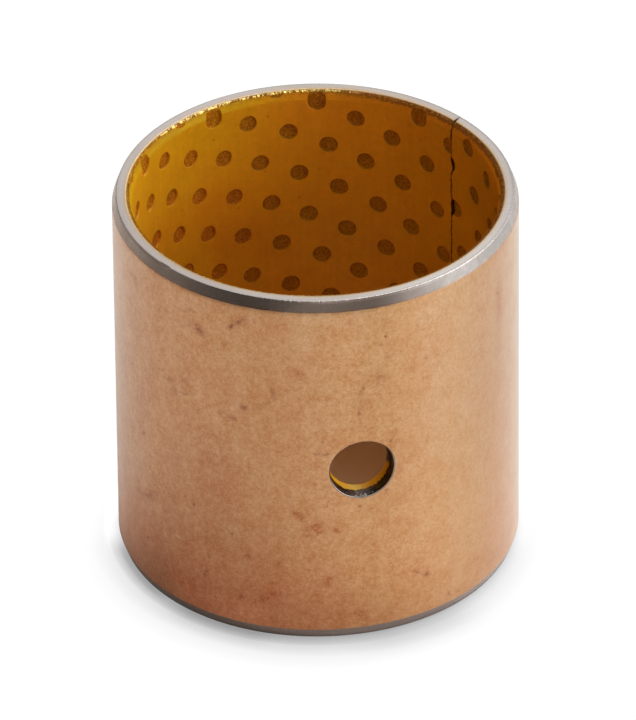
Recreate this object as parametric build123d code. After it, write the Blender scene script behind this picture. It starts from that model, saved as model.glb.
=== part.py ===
from build123d import *
import os
from math import cos, degrees, hypot, radians, sin

# Wrapped plain bushing, three bonded layers rolled from one flat strip:
# steel backing outside, sintered bronze in the middle, acetal lining inside.
# Millimetres and degrees. The origin is the centre of the bottom end face and
# +Z runs up the bore. Angles are counted round Z from -Y towards +X.

# ---- driving dimensions -----------------------------------------------------
housing_bore = 50.0                 # nominal bore of the housing it is pressed into
press_allowance = 0.06              # free outside diameter above the housing bore
length = 49.75

steel_thickness = 1.80
bronze_thickness = 0.30
lining_thickness = 0.40

outer_chamfer_length = 1.40         # along Z, both ends, on the outside
outer_chamfer_depth = 0.52          # radial, about 20 degrees to the axis

# inside edge, both ends: a shallow break over steel and bronze, then a steeper one
inner_break_width = 0.78            # radial, from the bore to the flat of the end face
steel_lip_drop = 0.04               # depth of the break where steel meets bronze
bronze_drop = 0.20                  # depth where bronze meets lining
lining_drop = 1.12                  # depth where the break runs out into the bore

oil_hole_diameter = 8.0             # through steel and bronze, radial
oil_hole_lining_diameter = 7.6      # the lining springs back a little after punching
oil_hole_edge_break = 0.17
oil_hole_angle = 12.6
oil_hole_height = length / 2

seam_angle_bore = 131.3             # where the butt joint meets the bore
seam_angle_outside = 132.8          # and where it meets the outside: the cut leans
seam_gap = 0.14

pocket_radius = 1.165               # grease pockets, through the lining to the bronze
pocket_origin = (188.69, 44.07)     # (angle, height) of pocket (0, 0)
pocket_step_i = (12.592, 2.044)     # (angle, height) of one step along a row
pocket_step_j = (9.228, -4.129)     # one step down to the next row
pocket_closing_shift = (-6.4, 0.10) # the rows creep by this much before the seam

# Measured departures of single pockets from the regular rows: (i, j): (angle, height)
pocket_offsets = {
    (2, 0): (-0.17, 0.00), (1, 0): (0.34, -0.01), (0, 0): (-0.33, -0.04),
    (-1, 0): (-0.42, -0.06), (-2, 0): (0.19, -0.01), (-3, 0): (0.12, 0.02),
    (-4, 0): (-0.59, 0.03), (0, -1): (-0.12, 0.00), (-1, -1): (0.02, -0.04),
    (-2, -1): (0.49, 0.06), (-3, -1): (0.16, -0.03), (-3, -2): (-0.40, 0.10),
    (3, 1): (0.28, 0.08), (2, 1): (0.19, -0.05), (1, 1): (-0.17, -0.05),
    (0, 1): (-0.21, -0.01), (-1, 1): (-0.25, -0.06), (-2, 1): (-0.34, -0.05),
    (-3, 1): (-0.51, 0.06), (-4, 1): (0.42, 0.02), (3, 2): (0.22, 0.12),
    (2, 2): (0.07, 0.09), (1, 2): (0.15, -0.06), (0, 2): (-0.41, -0.03),
    (-1, 2): (-0.47, -0.01), (-2, 2): (0.17, -0.03), (-3, 2): (0.57, -0.01),
    (-4, 2): (0.20, 0.02), (-5, 2): (0.25, 0.12), (2, 3): (-0.18, 0.01),
    (1, 3): (0.08, 0.04), (0, 3): (0.25, -0.03), (-1, 3): (0.12, 0.01),
    (-2, 3): (-0.25, 0.05), (-3, 3): (-0.55, 0.05), (-4, 3): (0.16, 0.00),
    (-1, 4): (-0.45, -0.09), (-2, 4): (0.39, -0.02), (-3, 4): (0.28, -0.07),
    (18, 8): (0.15, -0.10), (17, 8): (0.10, 0.13), (17, 9): (-0.27, -0.02),
    (16, 9): (-0.05, 0.25), (16, 10): (0.06, 0.30), (17, 10): (0.75, -0.05),
    (18, 9): (0.40, 0.00), (16, 11): (0.60, 0.00),
}

# ---- derived ----------------------------------------------------------------
outer_r = (housing_bore + press_allowance) / 2
steel_r = outer_r - steel_thickness          # steel to bronze
bronze_r = steel_r - bronze_thickness        # bronze to lining
bore_r = bronze_r - lining_thickness
flat_r = bore_r + inner_break_width          # inner edge of the flat end face


def outward(angle):
    return Vector(sin(radians(angle)), -cos(radians(angle)), 0)


def on_wall(r, angle, z):
    return outward(angle) * r + Vector(0, 0, z)


def ring(profile):
    """Solid of revolution from a closed (radius, height) outline."""
    return revolve(Plane.XZ * make_face(Polyline(*profile, close=True)), Axis.Z)


def radial_cylinder(radius, r_from, r_to, angle, z):
    base = Plane(origin=on_wall(r_from, angle, z), z_dir=outward(angle))
    return base * Cylinder(radius, r_to - r_from,
                           align=(Align.CENTER, Align.CENTER, Align.MIN))


def mirrored(top):
    """Close an outline given from the top end down to mid height."""
    return top + [(r, length - z) for r, z in reversed(top)]


# ---- the seam: a narrow slot that leans away from the radius ------------------
seam_in = on_wall(bore_r, seam_angle_bore, 0)
seam_out = on_wall(outer_r, seam_angle_outside, 0)
seam_dir = (seam_out - seam_in).normalized()
seam_mid = (seam_in + seam_out) * 0.5
seam_plane = Plane(origin=seam_mid + Vector(0, 0, length / 2), x_dir=seam_dir, z_dir=(0, 0, 1))
seam_slot = seam_plane * Box(8, seam_gap, length + 4)
# local +Y of the seam plane points to larger angles
if seam_plane.y_dir.dot(outward(seam_angle_bore + 90)) < 0:
    side_high, side_low = Align.MAX, Align.MIN
else:
    side_high, side_low = Align.MIN, Align.MAX
block_high = seam_plane * Box(12, 8, length + 8, align=(Align.CENTER, side_high, Align.CENTER))
block_low = seam_plane * Box(12, 8, length + 8, align=(Align.CENTER, side_low, Align.CENTER))

# ---- layers -------------------------------------------------------------------
steel_backing = ring([
    (flat_r, length), (outer_r - outer_chamfer_depth, length),
    (outer_r, length - outer_chamfer_length), (outer_r, outer_chamfer_length),
    (outer_r - outer_chamfer_depth, 0), (flat_r, 0),
    (steel_r, steel_lip_drop), (steel_r, length - steel_lip_drop)])

bronze_interlayer = ring([
    (steel_r, length - steel_lip_drop), (steel_r, steel_lip_drop),
    (bronze_r, bronze_drop), (bronze_r, length - bronze_drop)])

acetal_lining = ring([
    (bronze_r, length - bronze_drop), (bronze_r, bronze_drop),
    (bore_r, lining_drop), (bore_r, length - lining_drop)])

# ---- oil hole -------------------------------------------------------------------
drill = radial_cylinder(oil_hole_diameter / 2, bore_r - 3, outer_r + 3,
                        oil_hole_angle, oil_hole_height)
steel_backing -= drill
bronze_interlayer -= drill
hole_edge = [e for e in steel_backing.edges()
             if abs(hypot((e @ 0.3).X, (e @ 0.3).Y) - outer_r) < 1e-3
             and abs((e @ 0.3).Z - oil_hole_height) < oil_hole_diameter
             and abs((e @ 0.6).Z - oil_hole_height) < oil_hole_diameter
             and e.geom_type != GeomType.LINE]
steel_backing = chamfer(hole_edge, oil_hole_edge_break)
acetal_lining -= radial_cylinder(oil_hole_lining_diameter / 2, bore_r - 3, outer_r + 3,
                                 oil_hole_angle, oil_hole_height)

# ---- grease pockets ---------------------------------------------------------------


def smoothstep(t):
    t = min(1.0, max(0.0, t))
    return t * t * (3 - 2 * t)


def pocket_centres():
    """(angle along the strip, height): the strip starts and ends at the seam."""
    reach = degrees(pocket_radius / bore_r)
    found = []
    for j in range(-30, 31):
        for i in range(-60, 61):
            a = pocket_origin[0] + i * pocket_step_i[0] + j * pocket_step_j[0]
            z = pocket_origin[1] + i * pocket_step_i[1] + j * pocket_step_j[1]
            creep = smoothstep((a - 270) / 180)
            a += pocket_closing_shift[0] * creep
            z += pocket_closing_shift[1] * creep
            da, dz = pocket_offsets.get((i, j), (0, 0))
            a, z = a + da, z + dz
            if not -0.8 * pocket_radius < z < length + 0.8 * pocket_radius:
                continue
            if not seam_angle_bore - 0.75 * reach < a < seam_angle_bore + 360 + 0.75 * reach:
                continue
            found.append((a, z))
    return found


cutters = []
for angle, z in pocket_centres():
    cutter = radial_cylinder(pocket_radius, bore_r - 0.6, bronze_r + 0.2, angle, z)
    if angle < seam_angle_bore + 6:
        cutter = cutter - block_low
    elif angle > seam_angle_bore + 354:
        cutter = cutter - block_high
    cutters.append(cutter)
print("pockets:", len(cutters))

acetal_lining = acetal_lining - cutters

# ---- split at the seam ----------------------------------------------------------
steel_backing -= seam_slot
bronze_interlayer -= seam_slot
acetal_lining -= seam_slot

nodes = {
    "steel_backing": steel_backing,
    "bronze_interlayer": bronze_interlayer,
    "acetal_lining": acetal_lining,
}

os.makedirs("parts", exist_ok=True)
for name, shape in nodes.items():
    solids = shape.solids()
    body = solids[0] if len(solids) == 1 else Compound(children=solids)
    body.label = name
    export_step(body, f"parts/{name}.step")
    print(name, "solids", len(solids), "volume", round(sum(s.volume for s in solids), 2))
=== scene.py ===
import bpy, bmesh, math, random
import numpy as np
from mathutils import Matrix, Vector, noise
from mathutils.geometry import delaunay_2d_cdt

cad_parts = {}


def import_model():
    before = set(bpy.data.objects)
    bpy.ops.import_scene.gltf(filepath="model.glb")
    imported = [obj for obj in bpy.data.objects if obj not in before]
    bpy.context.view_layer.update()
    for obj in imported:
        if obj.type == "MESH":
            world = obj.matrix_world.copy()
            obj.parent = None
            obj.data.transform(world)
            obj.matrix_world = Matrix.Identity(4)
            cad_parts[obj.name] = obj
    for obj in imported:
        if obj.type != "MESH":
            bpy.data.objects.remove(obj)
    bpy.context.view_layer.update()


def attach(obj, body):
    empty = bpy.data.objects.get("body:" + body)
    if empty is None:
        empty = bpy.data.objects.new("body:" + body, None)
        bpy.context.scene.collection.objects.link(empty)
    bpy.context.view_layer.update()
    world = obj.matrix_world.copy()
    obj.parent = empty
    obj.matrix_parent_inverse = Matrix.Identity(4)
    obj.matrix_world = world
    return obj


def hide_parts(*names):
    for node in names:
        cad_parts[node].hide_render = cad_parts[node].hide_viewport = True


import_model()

# =============================================================================
# The bushing's numbers, in millimetres and degrees, as in part.py. Angles run
# round Z from -Y towards +X. The strip starts and ends at the seam, so an angle
# on it goes from the seam's angle to that plus 360.
# =============================================================================
LEN = 49.75
R_OUT, R_STEEL, R_BRONZE, R_BORE = 25.03, 23.23, 22.93, 22.53
R_FLAT = 23.31
CH_R, CH_Z = 0.52, 1.40
STEEL_DROP, BRONZE_DROP, LINING_DROP = 0.04, 0.20, 1.12
SEAM_IN, SEAM_OUT, HALF_GAP = 131.3, 132.8, 0.072
HOLE_A, HOLE_Z, HOLE_R = 12.6 + 360.0, LEN / 2, 4.0
DEG = math.pi / 180

PIT_R = 1.165
PIT_ORIGIN, PIT_I, PIT_J, PIT_SHIFT = (188.69, 44.07), (12.592, 2.044), (9.228, -4.129), (-6.4, 0.10)
PIT_OFF = {
    (2, 0): (-0.17, 0.00), (1, 0): (0.34, -0.01), (0, 0): (-0.33, -0.04),
    (-1, 0): (-0.42, -0.06), (-2, 0): (0.19, -0.01), (-3, 0): (0.12, 0.02),
    (-4, 0): (-0.59, 0.03), (0, -1): (-0.12, 0.00), (-1, -1): (0.02, -0.04),
    (-2, -1): (0.49, 0.06), (-3, -1): (0.16, -0.03), (-3, -2): (-0.40, 0.10),
    (3, 1): (0.28, 0.08), (2, 1): (0.19, -0.05), (1, 1): (-0.17, -0.05),
    (0, 1): (-0.21, -0.01), (-1, 1): (-0.25, -0.06), (-2, 1): (-0.34, -0.05),
    (-3, 1): (-0.51, 0.06), (-4, 1): (0.42, 0.02), (3, 2): (0.22, 0.12),
    (2, 2): (0.07, 0.09), (1, 2): (0.15, -0.06), (0, 2): (-0.41, -0.03),
    (-1, 2): (-0.47, -0.01), (-2, 2): (0.17, -0.03), (-3, 2): (0.57, -0.01),
    (-4, 2): (0.20, 0.02), (-5, 2): (0.25, 0.12), (2, 3): (-0.18, 0.01),
    (1, 3): (0.08, 0.04), (0, 3): (0.25, -0.03), (-1, 3): (0.12, 0.01),
    (-2, 3): (-0.25, 0.05), (-3, 3): (-0.55, 0.05), (-4, 3): (0.16, 0.00),
    (-1, 4): (-0.45, -0.09), (-2, 4): (0.39, -0.02), (-3, 4): (0.28, -0.07),
    (18, 8): (0.15, -0.10), (17, 8): (0.10, 0.13), (17, 9): (-0.27, -0.02),
    (16, 9): (-0.05, 0.25), (16, 10): (0.06, 0.30), (17, 10): (0.75, -0.05),
    (18, 9): (0.40, 0.00), (16, 11): (0.60, 0.00),
}

# Wear on the outside: (kind, angle, height, half length, half width, tilt, strength)
# d is a dark smudge or spot, r a reddish stain, l a pale scratch or rub.
WEAR = [
    ("d", -35.0, 43.08, 0.98, 0.54, -48, 0.44), ("d", -36.9, 43.35, 0.78, 0.29, 16, 0.25),
    ("d", -24.6, 45.04, 0.48, 0.24, 64, 0.72), ("d", -21.9, 46.08, 1.21, 0.27, 40, 0.50),
    ("d", -29.0, 41.04, 0.20, 0.15, 54, 0.50), ("d", -21.1, 33.58, 0.57, 0.46, 4, 0.42),
    ("d", -12.6, 36.20, 0.99, 0.26, -78, 0.42), ("d", -13.8, 34.88, 0.59, 0.19, 49, 0.30),
    ("d", -16.7, 33.78, 0.62, 0.24, 65, 0.22), ("d", -39.7, 34.53, 0.72, 0.41, 5, 0.25),
    ("d", -40.6, 32.67, 0.77, 0.23, 8, 0.28), ("d", -38.2, 45.41, 0.80, 0.29, 17, 0.22),
    ("r", -4.9, 39.52, 1.17, 0.55, -47, 0.30), ("d", -28.4, 31.95, 0.45, 0.27, 29, 0.30),
    ("d", -24.6, 31.60, 0.62, 0.32, -18, 0.38), ("d", -62.3, 44.47, 0.76, 0.42, 57, 0.25),
    ("d", -64.6, 44.95, 0.74, 0.35, 44, 0.20), ("d", -46.1, 33.80, 0.91, 0.44, 22, 0.25),
    ("d", -44.2, 32.42, 0.78, 0.59, -80, 0.25), ("d", -58.9, 22.83, 0.49, 0.22, 77, 0.40),
    ("d", 19.5, 43.93, 0.20, 0.16, -45, 0.60), ("d", 18.3, 42.80, 0.22, 0.15, -26, 0.45),
    ("r", 9.0, 46.50, 0.50, 0.29, -10, 0.25), ("d", 32.0, 39.10, 0.37, 0.14, -39, 0.35),
    ("d", 11.5, 38.08, 0.21, 0.17, -73, 0.45), ("d", 13.0, 36.91, 0.33, 0.20, -85, 0.42),
    ("d", 11.7, 33.22, 0.33, 0.22, -83, 0.50), ("r", 10.3, 40.52, 0.51, 0.43, -26, 0.28),
    ("d", 19.9, 41.01, 0.35, 0.27, -37, 0.25), ("d", 62.1, 42.23, 0.39, 0.15, -37, 0.40),
    ("d", 63.4, 40.84, 3.86, 0.85, -88, 0.16), ("d", 17.8, 38.00, 1.35, 0.88, -81, 0.16),
    ("d", 12.0, 35.53, 2.06, 0.62, -90, 0.14), ("d", -37.8, 16.81, 0.27, 0.17, 48, 0.60),
    ("d", -25.3, 14.23, 0.22, 0.18, 50, 0.85), ("d", -20.6, 11.35, 0.44, 0.35, 47, 0.50),
    ("d", -32.7, 9.87, 0.33, 0.19, 32, 0.38), ("d", -34.1, 7.12, 0.73, 0.31, 46, 0.40),
    ("d", -57.6, 7.53, 0.41, 0.19, 42, 0.50), ("r", -6.6, 18.75, 0.86, 0.48, -22, 0.55),
    ("r", -4.4, 17.86, 0.64, 0.43, -40, 0.40), ("r", -1.6, 16.70, 1.15, 0.58, 27, 0.70),
    ("r", -2.8, 15.64, 0.74, 0.39, 2, 0.50), ("r", 0.3, 16.09, 0.78, 0.42, 38, 0.50),
    ("r", -11.6, 10.87, 0.57, 0.50, 52, 0.42), ("r", -13.2, 6.35, 1.17, 0.42, 15, 0.36),
    ("r", -16.8, 5.17, 1.22, 0.44, 21, 0.34), ("d", -22.8, 5.06, 0.49, 0.37, 61, 0.35),
    ("d", -56.3, 14.24, 1.63, 0.63, 36, 0.30), ("d", -4.0, 16.28, 0.13, 0.11, 84, 0.70),
    ("r", -40.5, 4.17, 4.21, 1.84, 15, 0.06), ("r", -49.8, 4.47, 3.00, 1.77, 14, 0.08),
    ("r", 2.2, 8.74, 0.90, 0.62, -89, 0.36), ("r", 5.0, 16.32, 0.60, 0.44, -41, 0.50),
    ("r", 2.7, 8.92, 0.62, 0.59, -29, 0.32), ("r", 11.4, 3.46, 0.90, 0.59, -15, 0.50),
    ("r", 13.2, 2.51, 0.78, 0.44, -15, 0.45), ("d", 31.9, 7.01, 0.60, 0.38, -22, 0.42),
    ("d", 28.5, 7.89, 0.64, 0.27, -32, 0.28), ("d", 39.9, 2.67, 0.48, 0.28, -75, 0.35),
    ("d", 43.1, 2.32, 0.40, 0.21, -37, 0.30), ("d", 11.7, 19.49, 0.19, 0.16, -64, 0.55),
    ("d", 19.4, 21.27, 0.31, 0.27, -18, 0.40), ("d", 2.5, 19.88, 0.16, 0.13, -86, 0.40),
    ("d", -0.1, 27.78, 0.50, 0.29, 27, 0.42), ("d", 2.4, 27.59, 0.49, 0.22, 4, 0.50),
    ("d", 1.3, 29.38, 0.27, 0.17, -90, 0.40), ("d", 20.8, 28.37, 0.23, 0.16, -73, 0.45),
    ("d", 18.8, 28.63, 0.33, 0.21, -23, 0.25), ("r", -1.2, 23.25, 0.37, 0.30, 1, 0.30),
    ("d", 9.6, 31.17, 0.18, 0.16, -67, 0.35), ("d", 23.6, 23.76, 0.90, 0.40, -86, 0.14),
    ("r", 22.1, 28.39, 1.21, 0.78, -79, 0.20), ("l", -44.4, 10.79, 0.66, 0.10, -3, 0.80),
    ("l", -51.6, 16.59, 0.36, 0.11, -18, 0.60), ("l", 30.8, 12.35, 0.59, 0.07, -15, 0.50),
    ("d", 31.1, 12.15, 0.60, 0.07, -15, 0.40), ("l", -63.5, 16.62, 1.08, 0.17, 87, 0.50),
    ("l", -44.8, 10.98, 0.17, 0.10, 44, 0.50), ("l", 29.2, 14.04, 0.78, 0.47, -32, 0.16),
    ("l", -15.5, 40.71, 0.17, 0.06, 42, 0.40), ("l", 7.7, 35.76, 0.10, 0.07, -12, 0.30),
    ("l", -55.8, 6.35, 0.21, 0.08, 35, 0.50),
]
# Torn places along the lining's seam: (from height, to height, side, depth); side 0
# starts the strip and side 1 ends it
TORN = [
    (47.0, 48.75, 0, 0.050), (46.9, 48.6, 1, 0.035), (45.4, 46.7, 0, 0.045), (42.35, 44.3, 1, 0.25), (42.5, 44.2, 0, -0.20),
    (41.25, 41.65, 0, 0.065), (40.55, 40.8, 0, 0.050), (39.9, 40.2, 1, 0.045), (39.2, 39.6, 0, 0.050), (36.2, 39.0, 1, 0.42), (36.6, 38.7, 0, -0.07),
    (36.5, 38.4, 0, 0.040), (35.1, 35.5, 0, 0.050), (33.2, 33.7, 0, 0.040), (32.1, 32.4, 1, 0.050), (30.4, 31.2, 0, 0.055),
]
# Pale torn strokes on the hole's wall: (turn about the hole's axis, depth below the
# outside, half length, half width, tilt, strength)
HOLE_STROKES = [
    (-101.0, 0.34, 0.12, 0.07, 80, 0.70), (-92.0, 0.55, 0.22, 0.05, 62, 0.50), (-88.0, 0.28, 0.15, 0.05, 20, 0.45),
    (-84.0, 0.36, 0.26, 0.06, 100, 0.80), (-126.0, 0.55, 0.10, 0.05, 40, 0.60), (-119.0, 0.62, 0.12, 0.045, 20, 0.45),
    (-133.0, 0.45, 0.16, 0.05, 30, 0.35), (-139.0, 0.25, 0.12, 0.05, 60, 0.30), (-108.0, 0.70, 0.10, 0.05, 50, 0.25),
    (-71.0, 0.40, 0.26, 0.05, 100, 0.25), (-76.0, 0.60, 0.22, 0.05, 80, 0.20), (-58.0, 0.50, 0.22, 0.05, 95, 0.12),
]
# Dark specks in the lining: (angle, height, radius, strength)
SPECKS = [
    (214.0, 45.28, 0.11, 0.90), (194.9, 46.69, 0.11, 0.90), (227.4, 37.10, 0.11, 0.90), (226.5, 36.36, 0.10, 0.80),
    (240.6, 38.81, 0.11, 0.80), (205.4, 34.03, 0.11, 0.90), (185.2, 34.24, 0.17, 0.60), (195.9, 38.64, 0.11, 0.60),
    (178.8, 38.33, 0.13, 0.40), (179.0, 37.66, 0.11, 0.35), (148.4, 46.89, 0.19, 0.40), (144.2, 45.29, 0.20, 0.40),
    (142.5, 45.77, 0.17, 0.30), (140.5, 46.28, 0.11, 0.35), (156.1, 47.04, 0.11, 0.40), (186.3, 29.93, 0.11, 0.40),
    (230.0, 45.10, 0.10, 0.40), (223.8, 40.07, 0.09, 0.35), (170.7, 27.86, 0.11, 0.30), (197.4, 28.92, 0.13, 0.35),
    (166.4, 46.25, 0.11, 0.40), (203.9, 28.05, 0.11, 0.40), (164.2, 42.23, 0.09, 0.40), (168.2, 39.48, 0.09, 0.30),
    (190.6, 36.25, 0.11, 0.30), (209.9, 31.61, 0.11, 0.30), (193.7, 32.84, 0.09, 0.30), (150.2, 35.06, 0.10, 0.30),
    (174.4, 31.35, 0.10, 0.30), (240.5, 35.93, 0.09, 0.30),
]


# ---- small helpers -------------------------------------------------------------
def smooth(t):
    t = min(1.0, max(0.0, t))
    return t * t * (3 - 2 * t)


def n1(x, y=0.0, z=0.0):
    return noise.noise(Vector((x, y, z)))


def fbm(x, y, z, octaves=3):
    v, a = 0.0, 1.0
    for k in range(octaves):
        v += a * noise.noise(Vector((x, y, z)))
        x, y, z, a = x * 2.03 + 7.1, y * 2.03 + 3.3, z * 2.03 + 1.7, a * 0.55
    return v


def seam(r):
    return SEAM_IN + (SEAM_OUT - SEAM_IN) * (r - R_BORE) / (R_OUT - R_BORE)


def lo_a(r, extra=0.0):
    return seam(r) + (HALF_GAP + extra) / r / DEG


def hi_a(r, extra=0.0):
    return seam(r) + 360 - (HALF_GAP + extra) / r / DEG


def xyz(a, r, z):
    return (r * math.sin(a * DEG), -r * math.cos(a * DEG), z)


def hole_at(rho, phi, r):
    """A point of the radial hole's wall: radius rho from its axis, on the cylinder r."""
    return HOLE_A + math.asin(rho * math.cos(phi) / r) / DEG, HOLE_Z + rho * math.sin(phi)


def in_poly(px, py, poly):
    """Which points lie in a closed polygon; px, py arrays, poly (n, 2)."""
    inside = np.zeros(len(px), bool)
    x0, y0 = poly[:, 0], poly[:, 1]
    x1, y1 = np.roll(x0, -1), np.roll(y0, -1)
    for k in range(len(poly)):
        if y0[k] == y1[k]:
            continue
        hit = ((y0[k] > py) != (y1[k] > py)) & (px < (x1[k] - x0[k]) * (py - y0[k]) / (y1[k] - y0[k]) + x0[k])
        inside ^= hit
    return inside


class Shell:
    """Vertices kept as (angle, radius, height), and faces with a material index."""

    def __init__(self):
        self.a, self.r, self.z, self.faces, self.mats = [], [], [], [], []

    def put(self, a, r, z):
        self.a.append(a); self.r.append(r); self.z.append(z)
        return len(self.a) - 1

    def row(self, items):
        return [self.put(*i) for i in items]

    def face(self, idx, mat):
        seen = []
        for i in idx:
            if i not in seen:
                seen.append(i)
        if len(seen) > 2:
            self.faces.append(tuple(seen)); self.mats.append(mat)

    def strip(self, A, B, mat, closed=False):
        n = len(A)
        for k in range(n if closed else n - 1):
            j = (k + 1) % n
            m = mat(k) if callable(mat) else mat
            self.face((A[k], A[j], B[j], B[k]), m)

    def fill(self, loops, extra, radius, keep, mat, scale):
        """Fills an unrolled sheet between loops of vertices already put. extra is
        a list of (angle, height); radius gives the surface there; keep tells which
        triangle centres belong to it; mat gives the material index of each."""
        ids, co, edges = [], [], []
        for loop in loops:
            base = len(co)
            ids += loop
            co += [Vector((self.a[i] * scale, self.z[i])) for i in loop]
            edges += [(base + k, base + (k + 1) % len(loop)) for k in range(len(loop))]
        for a, z in extra:
            ids.append(self.put(a, radius(a, z), z))
            co.append(Vector((a * scale, z)))
        vo, eo, fo, ov, oe, of = delaunay_2d_cdt(co, edges, [], 0, 1e-7, True)
        back = [None] * len(vo)
        for k, src in enumerate(ov):
            if src:
                back[k] = ids[src[0]]
        V = np.array([(v.x, v.y) for v in vo])
        F = np.array(fo)
        c = V[F].mean(1)
        ok = keep(c[:, 0] / scale, c[:, 1])
        F, c = F[ok], c[ok]
        m = mat(c[:, 0] / scale, c[:, 1]) if callable(mat) else np.full(len(F), mat)
        for f, mi in zip(F.tolist(), m.tolist()):
            t = []
            for k in f:
                if back[k] is None:
                    a, z = V[k][0] / scale, V[k][1]
                    back[k] = self.put(a, radius(a, z), z)
                t.append(back[k])
            self.face(t, int(mi))

    def fill_flat(self, loop, mat):
        """Fills a seam's end face, in the plane of radius and height."""
        co = [Vector((self.r[i], self.z[i])) for i in loop]
        edges = [(k, (k + 1) % len(loop)) for k in range(len(loop))]
        vo, eo, fo, ov, oe, of = delaunay_2d_cdt(co, edges, [], 0, 1e-8, True)
        V = np.array([(v.x, v.y) for v in vo]); F = np.array(fo); c = V[F].mean(1)
        ok = in_poly(c[:, 0], c[:, 1], np.array([(v.x, v.y) for v in co]))
        for f in F[ok].tolist():
            if all(ov[k] for k in f):
                self.face([loop[ov[k][0]] for k in f], mat)

    def mesh(self, name, materials, sharp=50.0, attribute=None):
        a, r, z = np.array(self.a) * DEG, np.array(self.r), np.array(self.z)
        co = np.stack([r * np.sin(a), -r * np.cos(a), z], 1) * 0.001
        me = bpy.data.meshes.new(name)
        me.from_pydata([tuple(c) for c in co.tolist()], [], self.faces)
        for m in materials:
            me.materials.append(m)
        me.polygons.foreach_set("material_index", np.array(self.mats, np.int32))
        if attribute:
            col = me.attributes.new(attribute[0], "FLOAT_COLOR", "POINT")
            col.data.foreach_set("color", np.asarray(attribute[1], np.float32).ravel())
        bm = bmesh.new(); bm.from_mesh(me)
        loose = [v for v in bm.verts if not v.link_faces]
        bmesh.ops.delete(bm, geom=loose, context="VERTS")
        bmesh.ops.recalc_face_normals(bm, faces=bm.faces)
        open_edges = sum(1 for e in bm.edges if len(e.link_faces) != 2)
        tris = sum(len(f.verts) - 2 for f in bm.faces)
        bm.to_mesh(me); bm.free()
        me.polygons.foreach_set("use_smooth", np.ones(len(me.polygons), bool))
        me.set_sharp_from_angle(angle=sharp * DEG)
        me.update()
        ob = bpy.data.objects.new(name, me)
        bpy.context.scene.collection.objects.link(ob)
        print("piece", name, "triangles", tris, "open edges", open_edges)
        return ob


def lattice(a0, a1, z0, z1, step, scale, rng, jitter=0.06):
    """A jittered triangular lattice over angles a0..a1 and heights z0..z1."""
    pts, j, z = [], 0, z0
    while z <= z1:
        x = a0 * scale + (0.5 * step if j % 2 else 0.0)
        while x <= a1 * scale:
            pts.append(((x + rng.uniform(-jitter, jitter) * step) / scale, z + rng.uniform(-jitter, jitter) * step))
            x += step
        z += step * 0.866; j += 1
    return pts


def thin_out(pts, gap, scale):
    """Drops points nearer than gap to one kept before."""
    seen, out = {}, []
    for a, z in pts:
        x = a * scale
        key = (int(x / gap), int(z / gap))
        near = False
        for i in (-1, 0, 1):
            for j in (-1, 0, 1):
                for qx, qz in seen.get((key[0] + i, key[1] + j), ()):
                    if (qx - x) ** 2 + (qz - z) ** 2 < gap * gap:
                        near = True; break
                if near: break
            if near: break
        if not near:
            seen.setdefault(key, []).append((x, z)); out.append((a, z))
    return out


# =============================================================================
# Pockets of the lining
# =============================================================================
def pocket_list():
    reach = math.degrees(PIT_R / R_BORE)
    found = []
    for j in range(-30, 31):
        for i in range(-60, 61):
            a = PIT_ORIGIN[0] + i * PIT_I[0] + j * PIT_J[0]
            z = PIT_ORIGIN[1] + i * PIT_I[1] + j * PIT_J[1]
            creep = smooth((a - 270) / 180)
            a += PIT_SHIFT[0] * creep
            z += PIT_SHIFT[1] * creep
            da, dz = PIT_OFF.get((i, j), (0, 0))
            a, z = a + da, z + dz
            if not -0.8 * PIT_R < z < LEN + 0.8 * PIT_R:
                continue
            if not SEAM_IN - 0.75 * reach < a < SEAM_IN + 360 + 0.75 * reach:
                continue
            found.append((a, z))
    return found


PITS = pocket_list()
KB = R_BORE * DEG                      # mm per degree on the bore
PA, PZ = np.array([p[0] for p in PITS]), np.array([p[1] for p in PITS])
PIT_PHASE = [random.Random(90 + k).uniform(0, 50) for k in range(len(PITS))]


def pit_radius(k, ang):
    """Each pocket's outline is a little out of round; those cut by the break open squarely to the end."""
    q = 1.0
    if PITS[k][1] > 48.1 and math.sin(ang) > 0:
        q = (abs(math.cos(ang)) ** 3.4 + (math.sin(ang) / 1.22) ** 3.4) ** (-1 / 3.4)
    return q * PIT_R * (1 + 0.022 * n1(math.cos(ang) * 1.3 + PIT_PHASE[k], math.sin(ang) * 1.3)
                    + 0.010 * n1(math.cos(ang) * 5 + PIT_PHASE[k], math.sin(ang) * 5, 3.0))


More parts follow.
